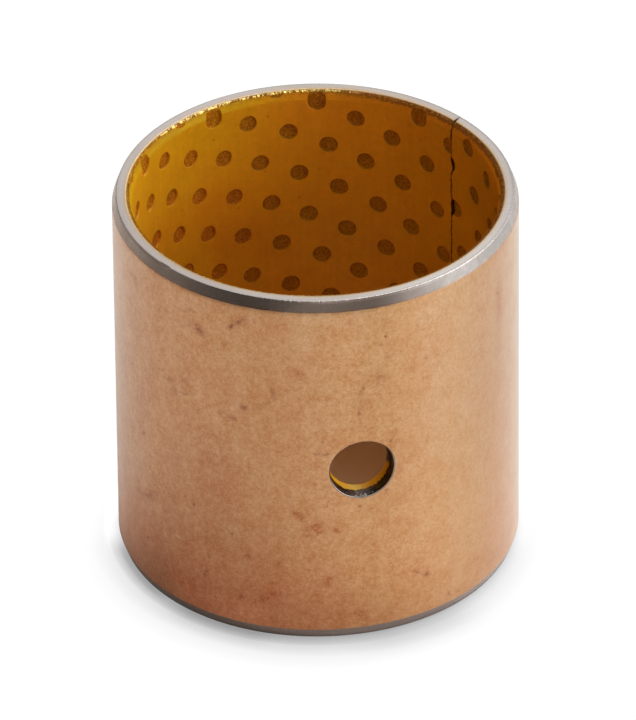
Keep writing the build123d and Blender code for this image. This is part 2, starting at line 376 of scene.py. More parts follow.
# =============================================================================
# Steel backing
# =============================================================================
def build_steel():
    s = Shell(); rng = random.Random(11)
    NT, NB = 1600, 640
    KO = R_OUT * DEG
    COPPER, BARE, CUT, LIP, CHAMFER, FOOT, SEAM_SHADE, EDGE = range(8)

    def edge_shift(a):
        """How far the flat's outer edge wanders: a ragged burr at the front, one nick."""
        th = (a + 180) % 360 - 180
        amp = 0.022 + 0.060 * math.exp(-((th - 1) / 11) ** 2) + 0.02 * math.exp(-((th - 40) / 25) ** 2)
        e = amp * fbm(th * 1.9, 4.0, 0.0, 4)
        e -= 0.16 * math.exp(-((th + 48.8) / 1.5) ** 2)
        return e

    rows = []
    # outer edge of the flat first, then down the chamfer; listed from the copper up
    prof = [(0.0, 0.0), (0.03, 0.035), (0.12, 0.12), (0.30, 0.30), (0.50, 0.50), (0.70, 0.70), (0.86, 0.86), (0.945, 0.945)]
    for n, (t, _) in enumerate(prof):
        row = []
        for k in range(NT + 1):
            r = R_OUT - CH_R * t
            if n == 0: r = R_OUT
            if n == 1: r = R_OUT - CH_R * 0.035
            A0, A1 = lo_a(r), hi_a(r)
            a = A0 + (A1 - A0) * k / NT
            th = (a + 180) % 360 - 180
            z = LEN - CH_Z * (1 - t)
            if n == 0:
                z += 0.035 * fbm(a * 0.35, 1.0, 0.0, 4)
            if n == 1:
                z += 0.028 * fbm(a * 0.35, 1.0, 0.0, 4)
            if n >= 2:
                w = 0.006 * fbm(a * 0.9, z * 1.5, 2.0, 3)
                r -= abs(w)
            if n == len(prof) - 1:
                e = edge_shift(a); r += 0.5 * min(e, 0.01)
            row.append((a, min(r, R_OUT), z))
        rows.append(s.row(row))
    # rounded edge, the flat, the inner break
    flat = [(24.508, 0.013), (24.496, 0.003), (24.45, 0.001), (24.26, 0.004), (24.10, 0.004), (23.90, 0.004),
            (23.70, 0.004), (23.50, 0.004), (23.385, 0.006), (23.335, 0.018), (23.28, 0.034), (R_STEEL, STEEL_DROP + 0.012)]
    for n, (r0, d) in enumerate(flat):
        row = []
        for k in range(NT + 1):
            worn = 0.012 - 0.050 * smooth((r0 - 23.5) / 0.95)
            A0, A1 = lo_a(r0, worn), hi_a(r0, worn)
            a = A0 + (A1 - A0) * k / NT
            r, z = r0, LEN - d
            e = edge_shift(a)
            if n == 0: r += e; z += min(0.012, 0.25 * e) - 0.004
            if n == 1: r += 1.1 * e; z += min(0.007, 0.1 * max(e, 0.0)) + 0.35 * min(e, 0.0)
            if n == 2: r += 0.8 * e
            if n == 3: r += 0.3 * e
            if 3 <= n <= 8: z += 0.0035 * fbm(a * 2.4, r0 * 1.7, 5.0, 3)
            if n >= 9: r += 0.012 * fbm(a * 2.6, 9.0, n * 0.2, 3)
            row.append((a, r, min(z, LEN)))
        rows.append(s.row(row))
    for n in range(len(rows) - 1):
        m = CHAMFER if n < 7 else BARE
        if n >= len(rows) - 4: m = LIP
        s.strip(rows[n], rows[n + 1], m)
    top_rows = rows
    # bottom end, listed from the copper down
    prof = [(R_OUT, CH_Z), (R_OUT - 0.02, CH_Z - 0.06), (R_OUT - 0.26, 0.70), (R_OUT - 0.47, 0.13), (R_OUT - 0.53, 0.03),
            (R_OUT - 0.60, 0.002), (24.0, 0.0), (R_FLAT, 0.0), (R_STEEL, STEEL_DROP)]
    bot = []
    for n, (r, z) in enumerate(prof):
        row = []
        for k in range(NB + 1):
            a = lo_a(r) + (hi_a(r) - lo_a(r)) * k / NB
            zz = z + (0.03 * fbm(a * 0.35, 12.0, 0.0, 3) if n < 2 else 0.0)
            row.append((a, r, max(zz, 0.0)))
        bot.append(s.row(row))
    for n in range(len(bot) - 1):
        s.strip(bot[n], bot[n + 1], FOOT if n < 4 else BARE)

    # the hole's wall
    NH = 300
    steps = [(4.17, 0.0), (4.135, 0.010), (4.075, 0.036), (4.030, 0.080), (4.008, 0.140), (4.0, 0.22), (4.0, 0.40), (4.0, 0.60),
             (4.0, 0.80), (4.0, 1.00), (4.0, 1.30), (4.0, 1.58), (4.0, R_OUT - R_STEEL)]
    ring = []
    for n, (rho, depth) in enumerate(steps):
        row = []
        for k in range(NH):
            phi = 2 * math.pi * k / NH
            w = 0.0
            if n == 0: w = 0.030 * fbm(math.cos(phi) * 5, math.sin(phi) * 5, 0.5, 3)
            elif n < 5: w = 0.012 * fbm(math.cos(phi) * 6, math.sin(phi) * 6, n * 0.4, 3)
            else:
                w = 0.010 * fbm(math.cos(phi) * 14, math.sin(phi) * 14, depth * 0.6, 2)
                # torn patch low on the wall
                d = (phi - math.radians(262)) / math.radians(17)
                w += 0.055 * math.exp(-d * d) * fbm(math.cos(phi) * 26, math.sin(phi) * 26, depth * 3.0, 3)
                w = max(w, -0.06)
            r = R_OUT - depth
            a, z = hole_at(rho + w, phi, r)
            row.append((a, r, z))
        ring.append(s.row(row))
    for n in range(len(ring) - 1):
        s.strip(ring[n], ring[n + 1], EDGE if n < 2 else CUT, closed=True)

    # seam edges of the two sheets
    def edge(r, zt, zb, which, n):
        f = lo_a if which == 0 else hi_a
        return s.row([(f(r), r, zt + (zb - zt) * k / n) for k in range(1, n)])
    zt, zb = s.z[top_rows[0][0]], s.z[bot[0][0]]
    out_lo = edge(R_OUT, s.z[top_rows[0][0]], s.z[bot[0][0]], 0, 110)
    out_hi = edge(R_OUT, s.z[top_rows[0][-1]], s.z[bot[0][-1]], 1, 110)
    in_lo = edge(R_STEEL, s.z[top_rows[-1][0]], STEEL_DROP, 0, 60)
    in_hi = edge(R_STEEL, s.z[top_rows[-1][-1]], STEEL_DROP, 1, 60)
    outer_loop = top_rows[0] + out_hi + bot[0][::-1] + out_lo[::-1]
    inner_loop = top_rows[-1] + in_hi + bot[-1][::-1] + in_lo[::-1]

    # points of the outside: an even lattice, finer where it carries wear
    pts = []
    for kind, a, z, h, w, tilt, st in WEAR:
        c, sn = math.cos(tilt * DEG), math.sin(tilt * DEG)
        if w < 0.5:
            rings = ((0, 1), (0.5, 6), (1.0, 9), (1.6, 11))
        else:
            rings = ((0, 1), (0.35, 7), (0.7, 12), (1.05, 16), (1.5, 20))
        for q, m in rings:
            for k in range(m):
                t = 2 * math.pi * k / m
                x, y = q * h * math.cos(t), q * w * math.sin(t)
                pts.append(((a % 360 + (x * c - y * sn) / KO), z + x * sn + y * c))
    pts = [((a if a > SEAM_OUT else a + 360), z) for a, z in pts]
    pts += lattice(lo_a(R_OUT), hi_a(R_OUT), CH_Z + 0.30, LEN - CH_Z - 0.30, 0.52, KO, rng)
    hx = np.array([(a - HOLE_A) * KO for a, z in pts]); hz = np.array([z - HOLE_Z for a, z in pts])
    far = np.hypot(hx, hz) > 4.36
    pts = [p for p, f in zip(pts, far) if f and lo_a(R_OUT) + 0.5 < p[0] < hi_a(R_OUT) - 0.5 and CH_Z + 0.2 < p[1] < LEN - CH_Z - 0.2]
    pts = thin_out(pts, 0.085, KO)

    def keep(loop_outer, loop_hole, scale):
        lo_edge = (min(s.a[i] for i in loop_outer), max(s.a[i] for i in loop_outer))
        P = np.array([(s.a[i] * scale, s.z[i]) for i in loop_hole])
        n = len(top_rows[0])
        def f(a, z, loop_outer=loop_outer):
            ok = np.ones(len(a), bool)
            near = (np.abs((a - HOLE_A) * scale) < 5) & (np.abs(z - HOLE_Z) < 5)
            ok[near] = ~in_poly(a[near] * scale, z[near], P)
            # above and below the wavy edges
            T = loop_outer[:n]
            ta, tz = np.array([s.a[i] for i in T]), np.array([s.z[i] for i in T])
            ok &= z < np.interp(a, ta, tz)
            B = bot[0] if loop_outer is outer_loop else bot[-1]
            ba, bz = np.array([s.a[i] for i in B]), np.array([s.z[i] for i in B])
            ok &= z > np.interp(a, ba, bz)
            return ok
        return f
    s.fill([outer_loop, ring[0]], pts, lambda a, z: R_OUT, keep(outer_loop, ring[0], KO), COPPER, KO)
    KI = R_STEEL * DEG
    pin = [p for p in lattice(lo_a(R_STEEL), hi_a(R_STEEL), 1.2, LEN - 1.2, 1.8, KI, rng)
           if math.hypot((p[0] - HOLE_A) * KI, p[1] - HOLE_Z) > 4.7 and lo_a(R_STEEL) + 2 < p[0] < hi_a(R_STEEL) - 2]
    s.fill([inner_loop, ring[-1]], pin, lambda a, z: R_STEEL + 0.02, keep(inner_loop, ring[-1], KI), BARE, KI)
    # end faces at the seam, painted near black: painted shade of the narrow gap
    for col, o, i in ((0, out_lo, in_lo), (-1, out_hi, in_hi)):
        loop = [row[col] for row in top_rows] + i + [row[col] for row in bot][::-1] + o[::-1]
        s.fill_flat(loop, SEAM_SHADE)

    # wear and painted light attribute
    a = np.array(s.a); z = np.array(s.z); r = np.array(s.r)
    wear_and_painted_light = np.zeros((len(a), 4)); wear_and_painted_light[:, 3] = 1
    wall = r > R_OUT - 0.01
    for k in (0, 1, 2, NT - 2, NT - 1, NT):         # painted shade of the gap beside the seam on the end face, most towards the bore
        for row in top_rows[8:]:
            wear_and_painted_light[row[k], 0] = (0.9, 0.5, 0.15, 0.15, 0.5, 0.9)[(0, 1, 2, NT - 2, NT - 1, NT).index(k)] * smooth((24.45 - s.r[row[k]]) / 0.9)
    # pale torn strokes low on the hole's wall: (turn, depth, half length, half width, tilt, strength)
    phi = np.degrees(np.arctan2(z - HOLE_Z, (a - HOLE_A) * DEG * r))
    bore = (np.abs(np.hypot((a - HOLE_A) * DEG * r, z - HOLE_Z) - 4.0) < 0.09) & (r > R_STEEL + 0.1) & (np.abs(a - HOLE_A) < 15)
    for t, dep, h, w, tilt, st in HOLE_STROKES:
        d = ((phi - t + 180) % 360 - 180) * DEG * 4.0
        e = (R_OUT - r) - dep
        c, sn = math.cos(tilt * DEG), math.sin(tilt * DEG)
        x, y = (d * c + e * sn) / h, (-d * sn + e * c) / w
        wear_and_painted_light[:, 2] = np.maximum(wear_and_painted_light[:, 2], min(0.95, 1.25 * st) * np.exp(-(x * x + y * y)) * bore)
    for n, row in enumerate(ring):
        for k, i in enumerate(row):
            t = (360.0 * k / NH + 180) % 360 - 180
            if n < 3:
                # the break round the hole is paler on its lower half
                wear_and_painted_light[i, 2] = (0.30, 1.0, 1.0)[n] * smooth((t + 175) / 25) * (1 - smooth((t - 10) / 35))
            else:
                # painted light: the hole's wall lighter low down, where light falls in from above
                wear_and_painted_light[i, 1] = math.exp(-((t + 104) / 34) ** 2)
    for kind, wa, wz, h, w, tilt, st in WEAR:
        d = ((a - wa + 180) % 360 - 180) * KO
        e = z - wz
        c, sn = math.cos(tilt * DEG), math.sin(tilt * DEG)
        x, y = (d * c + e * sn) / h, (-d * sn + e * c) / w
        g = min(0.95, st * {"d": 1.18, "r": 1.45, "l": 1.35}[kind]) * np.exp(-1.1 * (x * x + y * y)) * wall
        g[g < 0.003] = 0
        ch = {"d": 0, "r": 1, "l": 2}[kind]
        wear_and_painted_light[:, ch] = 1 - (1 - wear_and_painted_light[:, ch]) * (1 - g)
    return s, wear_and_painted_light


# =============================================================================
# Bronze interlayer
# =============================================================================
def build_bronze():
    s = Shell(); rng = random.Random(12)
    NT, NB = 1800, 640
    ro = R_STEEL - 0.004
    GRAIN, PLAIN = 0, 0

    def grain(a, v, seed=0.0):
        x, y = a * 0.40 * 5.2, v * 5.2
        g = noise.cell(Vector((x, y, seed))) - 0.5
        return 0.75 * fbm(x, y, seed, 3) + 0.25 * g

    top = []
    M = 9
    for n in range(M + 1):
        t = n / M
        r0 = ro + (R_BRONZE - ro) * t
        z0 = LEN - (STEEL_DROP + 0.012 + (BRONZE_DROP + 0.02 - STEEL_DROP - 0.012) * t)
        row = []
        for k in range(NT + 1):
            a = lo_a(r0) + (hi_a(r0) - lo_a(r0)) * k / NT
            w = 0.0 if n in (0,) else 1.0
            g = grain(a, t * 0.35) * w
            dz = 0.055 * g; dr = 0.022 * grain(a, t * 0.35, 20.0) * w
            da = 0.10 * n1(a * 3.1, t * 3, 7.0) * w * (0 < k < NT)
            r = r0 + dr
            row.append((a + da, min(r, ro), min(z0 + dz, LEN - 0.02)))
        top.append(s.row(row))
    row = [(lo_a(R_BRONZE) + (hi_a(R_BRONZE) - lo_a(R_BRONZE)) * k / NT, R_BRONZE, LEN - 0.42) for k in range(NT + 1)]
    top.append(s.row(row))
    for n in range(len(top) - 1):
        s.strip(top[n], top[n + 1], GRAIN)
    bot = []
    for n, (r0, z0) in enumerate([(ro, STEEL_DROP + 0.012), (ro - 0.1, 0.09), (R_BRONZE + 0.1, 0.155), (R_BRONZE, 0.22), (R_BRONZE, 0.42)]):
        row = []
        for k in range(NB + 1):
            a = lo_a(r0) + (hi_a(r0) - lo_a(r0)) * k / NB
            row.append((a, r0, z0 + (0.02 * grain(a, n, 3.0) if 0 < n < 4 else 0)))
        bot.append(s.row(row))
    for n in range(len(bot) - 1):
        s.strip(bot[n], bot[n + 1], GRAIN)
    NH = 176
    ring = []
    for n, r in enumerate((ro, 23.17, 23.10, 23.04, 22.98, R_BRONZE)):
        row = []
        for k in range(NH):
            phi = 2 * math.pi * k / NH
            w = 0.035 * fbm(math.cos(phi) * 24, math.sin(phi) * 24, n * 0.9, 3) if n else 0.0
            a, z = hole_at(HOLE_R + 0.01 + w, phi, r)
            row.append((a, r, z))
        ring.append(s.row(row))
    for n in range(len(ring) - 1):
        s.strip(ring[n], ring[n + 1], GRAIN, closed=True)

    def edge(r, zt, zb, which, n):
        f = lo_a if which == 0 else hi_a
        return s.row([(f(r), r, zt + (zb - zt) * k / n) for k in range(1, n)])
    out_lo = edge(ro, s.z[top[0][0]], s.z[bot[0][0]], 0, 60)
    out_hi = edge(ro, s.z[top[0][-1]], s.z[bot[0][-1]], 1, 60)
    in_lo = edge(R_BRONZE, s.z[top[-1][0]], s.z[bot[-1][0]], 0, 60)
    in_hi = edge(R_BRONZE, s.z[top[-1][-1]], s.z[bot[-1][-1]], 1, 60)
    outer_loop = top[0] + out_hi + bot[0][::-1] + out_lo[::-1]
    inner_loop = top[-1] + in_hi + bot[-1][::-1] + in_lo[::-1]

    def keep(T, B, hole, scale):
        P = np.array([(s.a[i] * scale, s.z[i]) for i in hole])
        ta, tz = np.array([s.a[i] for i in T]), np.array([s.z[i] for i in T])
        ba, bz = np.array([s.a[i] for i in B]), np.array([s.z[i] for i in B])
        def f(a, z):
            ok = (z < np.interp(a, ta, tz)) & (z > np.interp(a, ba, bz))
            near = (np.abs((a - HOLE_A) * scale) < 5) & (np.abs(z - HOLE_Z) < 5)
            ok[near] &= ~in_poly(a[near] * scale, z[near], P)
            return ok
        return f
    for loop, hole, T, B, r in ((outer_loop, ring[0], top[0], bot[0], ro), (inner_loop, ring[-1], top[-1], bot[-1], R_BRONZE)):
        K = r * DEG
        pts = [p for p in lattice(lo_a(r), hi_a(r), 1.5, LEN - 1.5, 1.8, K, rng)
               if math.hypot((p[0] - HOLE_A) * K, p[1] - HOLE_Z) > 4.7 and lo_a(r) + 2 < p[0] < hi_a(r) - 2]
        s.fill([loop, hole], pts, lambda a, z, r=r: r + (0.02 if r < 23.1 else 0.0), keep(T, B, hole, K), PLAIN, K)
    for col, o, i in ((0, out_lo, in_lo), (-1, out_hi, in_hi)):
        loop = [row[col] for row in top] + i + [row[col] for row in bot][::-1] + o[::-1]
        s.fill_flat(loop, PLAIN)
    return s


# =============================================================================
# Acetal lining
# =============================================================================
RL = R_BRONZE - 0.025                  # its outer side, on the bronze
FLOOR = RL - 0.050                     # a thin film stays in the pockets


def nearest_pit(a, z):
    d = np.hypot((PA - a) * KB, PZ - z)
    k = int(d.argmin())
    return k, float(d[k])


def lining_base(a, z):
    """Bore radius without pockets: the bore, and the machined break at each end."""
    e = min(z, LEN - z)
    t = (LINING_DROP - e) / (LINING_DROP - BRONZE_DROP)
    if t <= -0.12:
        return R_BORE
    lip = 0.012 * fbm(a * 0.5, 3.0 if z > LEN / 2 else 8.0, 0.0, 2)
    t += lip
    if t < 0.12:                       # rounded start
        u = max(0.0, (t + 0.12) / 0.24)
        return R_BORE + (RL - R_BORE) * 0.12 * u * u
    return R_BORE + (RL - R_BORE) * min(t, 1.0)


def lining_radius(a, z):
    base = lining_base(a, z)
    k, d = nearest_pit(a, z)
    if d > 1.45 * PIT_R:
        return base
    ang = math.atan2(z - PZ[k], (a - PA[k]) * KB)
    q = d - pit_radius(k, ang)
    if q > 0.11:
        pit = R_BORE
    elif q > 0.0:
        u = 1 - q / 0.11
        pit = R_BORE + 0.010 * u * u
    elif q > -0.065:
        u = -q / 0.065
        pit = R_BORE + 0.010 + (FLOOR - R_BORE - 0.010) * smooth(0.06 + 0.94 * u)
    else:
        g = fbm((a * KB) * 3.4, z * 3.4, 2.0, 3)
        pit = FLOOR - 0.018 + 0.020 * g
    return max(base, min(pit, RL - 0.002))


def build_lining():
    s = Shell(); rng = random.Random(13)
    PLASTIC, PIT, CUTP = 0, 1, 2
    NT, NB, NS = 1100, 420, 300

    def rag(z, side):
        """How far the lining's edge is torn back from the seam, in mm."""
        e = -0.048 + 0.065 * max(0.0, fbm(z * 1.7, 5.0 * side, 0.0, 4)) + 0.060 * abs(n1(z * 4.2, 3.0 * side, 1.0))
        e += (1 - 2 * side) * 0.085 * fbm(z * 0.75, 50.0, 0.0, 3)     # the joint wanders
        for z0, z1, which, w in TORN:
            if which == side:
                u = abs(z - (z0 + z1) / 2) / ((z1 - z0) / 2)
                e += w * (1 - smooth((u - 0.45) / 0.75)) * (1 + 0.35 * fbm(z * 3.1, 7.0 * side, 2.0, 2))
        return e

    def top_item(k, n, z0, sign, seed):
        a0, a1 = lo_a(RL, rag(z0, 0)), hi_a(RL, rag(z0, 1))
        a = a0 + (a1 - a0) * k / n
        w = fbm(a * 1.6, seed, 0.0, 4)
        return (a, RL, z0 + sign * 0.035 * w)
    top = s.row([top_item(k, NT, LEN - BRONZE_DROP - 0.005, 1, 1.0) for k in range(NT + 1)])
    bot = s.row([top_item(k, NB, BRONZE_DROP + 0.005, -1, 6.0) for k in range(NB + 1)])

    def edges(which, zt, zb):
        f = lo_a if which == 0 else hi_a
        inner, outer = [], []
        for k in range(1, NS):
            z = zt + (zb - zt) * k / NS
            x = rag(z, which)
            a = f(R_BORE, x)
            r = lining_radius(a, z)
            a = f(r, x)
            inner.append(s.put(a, r, z))
            outer.append(s.put(f(RL, x * 0.6), RL, z))
        return inner, outer
    lo_in, lo_out = edges(0, s.z[top[0]], s.z[bot[0]])
    hi_in, hi_out = edges(1, s.z[top[-1]], s.z[bot[-1]])
    s.strip([top[0]] + lo_in + [bot[0]], [top[0]] + lo_out + [bot[0]], CUTP)
    s.strip([top[-1]] + hi_in + [bot[-1]], [top[-1]] + hi_out + [bot[-1]], CUTP)

    # the hole: a flared wall, its outer rim drawn out over the bronze and steel in teeth
    NH = 384

    def tooth(phi):
        """How far the drawn lip reaches outward from the bronze's inner side, in mm."""
        x, y = math.cos(phi), math.sin(phi)
        low = max(0.0, -y) ** 0.7
        side = max(0.0, -math.cos(phi - math.radians(15))) * 0.04
        t = 0.12 * fbm(x * 9, y * 9, 1.0, 2) + 0.66 * abs(n1(x * 20, y * 20, 4.0)) ** 0.8
        return 0.03 + 0.50 * low + side + t * (0.35 + 0.75 * low)
    ring = []
    for n in range(8):
        row = []
        for k in range(NH):
            phi = 2 * math.pi * k / NH
            x, y = math.cos(phi), math.sin(phi)
            turn = (360.0 * k / NH + 180) % 360 - 180
            pull = smooth((turn + 34) / 34) * (1 - smooth((turn - 58) / 46))     # sheared less cleanly on the right
            th = min(max(tooth(phi), 0.02), 0.95)
            lip = 0.020 * fbm(x * 3, y * 3, 2.0, 2)
            rho, r = [(3.845 + lip, R_BORE), (3.795 + lip, R_BORE + 0.030), (3.785 + lip, R_BORE + 0.10),
                      (3.83 + 0.7 * lip, R_BRONZE - 0.09), (3.88 + 0.4 * lip, R_BRONZE + 0.30 * th), (3.935, R_BRONZE + 0.70 * th),
                      (3.975, R_BRONZE + th), (3.993, R_BRONZE + 0.7 * th)][n]
            rho -= (0.16, 0.16, 0.16, 0.14, 0.10, 0.06, 0.02, 0.0)[n] * pull
            if 2 < n < 7:
                rho -= 0.035 * abs(n1(x * 19, y * 19, 4.0)) + 0.012 * abs(n1(x * 33, y * 33, n * 0.5))
            a, z = hole_at(rho, phi, r)
            row.append((a, r, z))
        ring.append(s.row(row))
    last = []
    for k in range(NH):
        a, z = hole_at(3.994, 2 * math.pi * k / NH, RL)
        last.append((a, RL, z))
    ring.append(s.row(last))
    for n in range(len(ring) - 1):
        s.strip(ring[n], ring[n + 1], CUTP, closed=True)

    # points of the inner side
    zt = LEN - BRONZE_DROP; zb = BRONZE_DROP
    ei = sorted([(s.z[i], s.a[i]) for i in lo_in + [top[0], bot[0]]])
    ej = sorted([(s.z[i], s.a[i]) for i in hi_in + [top[-1], bot[-1]]])
    eiz, eia = np.array([e[0] for e in ei]), np.array([e[1] for e in ei])
    ejz, eja = np.array([e[0] for e in ej]), np.array([e[1] for e in ej])
    pts = []
    NR = 26
    for k, (pa, pz) in enumerate(PITS):
        for q, off in ((0.20, 0.5), (0.11, 0.0), (0.045, 0.5), (0.0, 0.0), (-0.036, 0.5), (-0.072, 0.0), (-0.15, 0.5)):
            for m in range(NR):
                t = 2 * math.pi * (m + off) / NR
                rr = pit_radius(k, math.atan2(math.sin(t), math.cos(t))) + q
                pts.append((pa + rr * math.cos(t) / KB, pz + rr * math.sin(t), 0.045))
        for a, z in lattice(pa - 1.0 / KB, pa + 1.0 / KB, pz - 0.95, pz + 0.95, 0.205, KB, rng, 0.12):
            if math.hypot((a - pa) * KB, z - pz) < PIT_R - 0.24:
                pts.append((a, z, 0.12))
    for a, z, rad, st in SPECKS:
        for q, m in ((0, 1), (1.0, 6), (1.9, 8)):
            for j in range(m):
                t = 2 * math.pi * j / m
                pts.append((a + q * rad * math.cos(t) / KB, z + q * rad * math.sin(t), 0.05))
    for k in range(1, NS):
        z = LEN * k / NS
        for ez, ea, sign in ((eiz, eia, 1), (ejz, eja, -1)):
            for off, every in ((0.13, 1), (0.26, 2), (0.42, 3)):
                if k % every == 0:
                    pts.append((float(np.interp(z, ez, ea)) + sign * off / KB, z + rng.uniform(-0.03, 0.03), 0.08))
    # rows that follow the break at each end
    for e, step in ((0.36, 0.22), (0.55, 0.26), (0.78, 0.3), (0.98, 0.3), (1.07, 0.3), (1.16, 0.3), (1.27, 0.34)):
        for z in (LEN - e, e):
            n = int((hi_a(R_BORE) - lo_a(R_BORE)) * KB / (step if z > 10 else step * 2))
            for k in range(1, n):
                a = lo_a(R_BORE) + (hi_a(R_BORE) - lo_a(R_BORE)) * (k + rng.uniform(-0.2, 0.2)) / n
                k2, d = nearest_pit(a, z)
                if d > PIT_R + 0.30 or d < 0.01:
                    pts.append((a, z, 0.09))
    for a, z in lattice(lo_a(R_BORE), hi_a(R_BORE), 1.5, LEN - 1.5, 0.62, KB, rng):
        d = np.hypot((PA - a) * KB, PZ - z).min()
        if d > PIT_R + 0.38:
            pts.append((a, z, 0.2))
    out, grid = [], {}
    for a, z, gap in pts:
        if not zb + 0.07 < z < zt - 0.07:
            continue
        if not np.interp(z, eiz, eia) + 0.10 / KB < a < np.interp(z, ejz, eja) - 0.10 / KB:
            continue
        if math.hypot((a - HOLE_A) * KB, z - HOLE_Z) < 3.845 + 0.11:
            continue
        x = a * KB
        key = (int(x / 0.2), int(z / 0.2)); near = False
        for i in (-1, 0, 1):
            for j in (-1, 0, 1):
                for qx, qz in grid.get((key[0] + i, key[1] + j), ()):
                    if (qx - x) ** 2 + (qz - z) ** 2 < gap * gap:
                        near = True
        if near:
            continue
        grid.setdefault(key, []).append((x, z)); out.append((a, z))

    inner_loop = top + hi_in + bot[::-1] + lo_in[::-1]
    outer_loop = top + hi_out + bot[::-1] + lo_out[::-1]
    ta, tz = np.array([s.a[i] for i in top]), np.array([s.z[i] for i in top])
    ba, bz = np.array([s.a[i] for i in bot]), np.array([s.z[i] for i in bot])

    def keeper(edge_lo, edge_hi, hole, scale):
        P = np.array([(s.a[i] * scale, s.z[i]) for i in hole])
        def f(a, z):
            ok = (z < np.interp(a, ta, tz)) & (z > np.interp(a, ba, bz))
            ok &= (a > np.interp(z, *edge_lo)) & (a < np.interp(z, *edge_hi))
            near = (np.abs((a - HOLE_A) * scale) < 5) & (np.abs(z - HOLE_Z) < 5)
            ok[near] &= ~in_poly(a[near] * scale, z[near], P)
            return ok
        return f

    def pit_mat(a, z):
        m = np.zeros(len(a), int)
        for k in range(len(a)):
            kk, d = nearest_pit(a[k], z[k])
            rim = pit_radius(kk, math.atan2(z[k] - PITS[kk][1], (a[k] - PITS[kk][0]) * KB))
            if d < rim - 0.004:
                m[k] = PIT
            elif d > rim and (z[k] > LEN - LINING_DROP or z[k] < LINING_DROP):
                m[k] = CUTP
        return m
    s.fill([inner_loop, ring[0]], out, lining_radius, keeper((eiz, eia), (ejz, eja), ring[0], KB), pit_mat, KB)
    oi = sorted([(s.z[i], s.a[i]) for i in lo_out + [top[0], bot[0]]])
    oj = sorted([(s.z[i], s.a[i]) for i in hi_out + [top[-1], bot[-1]]])
    K2 = RL * DEG
    pts = [p for p in lattice(lo_a(RL), hi_a(RL), 1.2, LEN - 1.2, 1.6, K2, rng)
           if math.hypot((p[0] - HOLE_A) * K2, p[1] - HOLE_Z) > 4.6 and lo_a(RL) + 1.6 < p[0] < hi_a(RL) - 1.6]
    s.fill([outer_loop, ring[-1]], pts, lambda a, z: RL + 0.012,
           keeper((np.array([e[0] for e in oi]), np.array([e[1] for e in oi])),
                  (np.array([e[0] for e in oj]), np.array([e[1] for e in oj])), ring[-1], K2), PLASTIC, K2)

    a = np.array(s.a); z = np.array(s.z); r = np.array(s.r)
    wear_and_painted_light = np.zeros((len(a), 4)); wear_and_painted_light[:, 3] = 1
    inner = r < RL - 0.03
    for wa, wz, rad, st in SPECKS:
        d = np.hypot((a - wa) * KB, z - wz) / rad
        wear_and_painted_light[:, 0] = np.maximum(wear_and_painted_light[:, 0], st * np.exp(-d * d) * inner)
    # grime along the seam, heaviest on the torn places
    for side, inner_e, outer_e in ((0, lo_in, lo_out), (1, hi_in, hi_out)):
        ez = np.array([s.z[i] for i in inner_e])[::-1]; ea = np.array([s.a[i] for i in inner_e])[::-1]
        near = np.where((np.abs(a - ea.mean()) * KB < 1.6) & inner)[0]
        for i in near:
            d = abs(a[i] - np.interp(z[i], ez, ea)) * KB
            w = 0.050 + 0.095 * max(0.0, fbm(z[i] * 1.2, 2.0 + 9 * side, 0.0, 3)) + 0.06 * abs(n1(z[i] * 4, 1.0, 0.0))
            if side == 0 and 47.0 < z[i] < 48.75 or 45.5 < z[i] < 46.2:
                w += 0.05
            if side == 0 and 42.5 < z[i] < 44.3:
                w = 0.03
            dash = 0.40 + 0.60 * smooth((n1(z[i] * 1.9, 4.0 * side, 6.0) + 0.30) / 0.35)
            wear_and_painted_light[i, 0] = max(wear_and_painted_light[i, 0], dash * math.exp(-(d / w) ** 2))
        # the seam's end faces painted fully dark: painted shade of the gap
        wear_and_painted_light[outer_e, 0] = 1.0
    # the hole's lip darker right of and above the axis, and a painted shadow on its outer rows all round, between the
    # teeth and the steel
    for row in ring:
        for k, i in enumerate(row):
            phi = (360.0 * k / NH + 180) % 360 - 180
            wear_and_painted_light[i, 1] = smooth((phi + 17) / 6) * (1 - smooth((phi - 100) / 30))
            # painted shadow on the outer rows, between the teeth and the steel
            if 6 <= ring.index(row) < 9:
                wear_and_painted_light[i, 1] = 1.0
            # paler and yellower towards the bottom left
            wear_and_painted_light[i, 2] = 0.95 * math.exp(-((phi + 97) / 17) ** 2) + 0.45 * math.exp(-((phi + 128) / 22) ** 2)
    return s, wear_and_painted_light


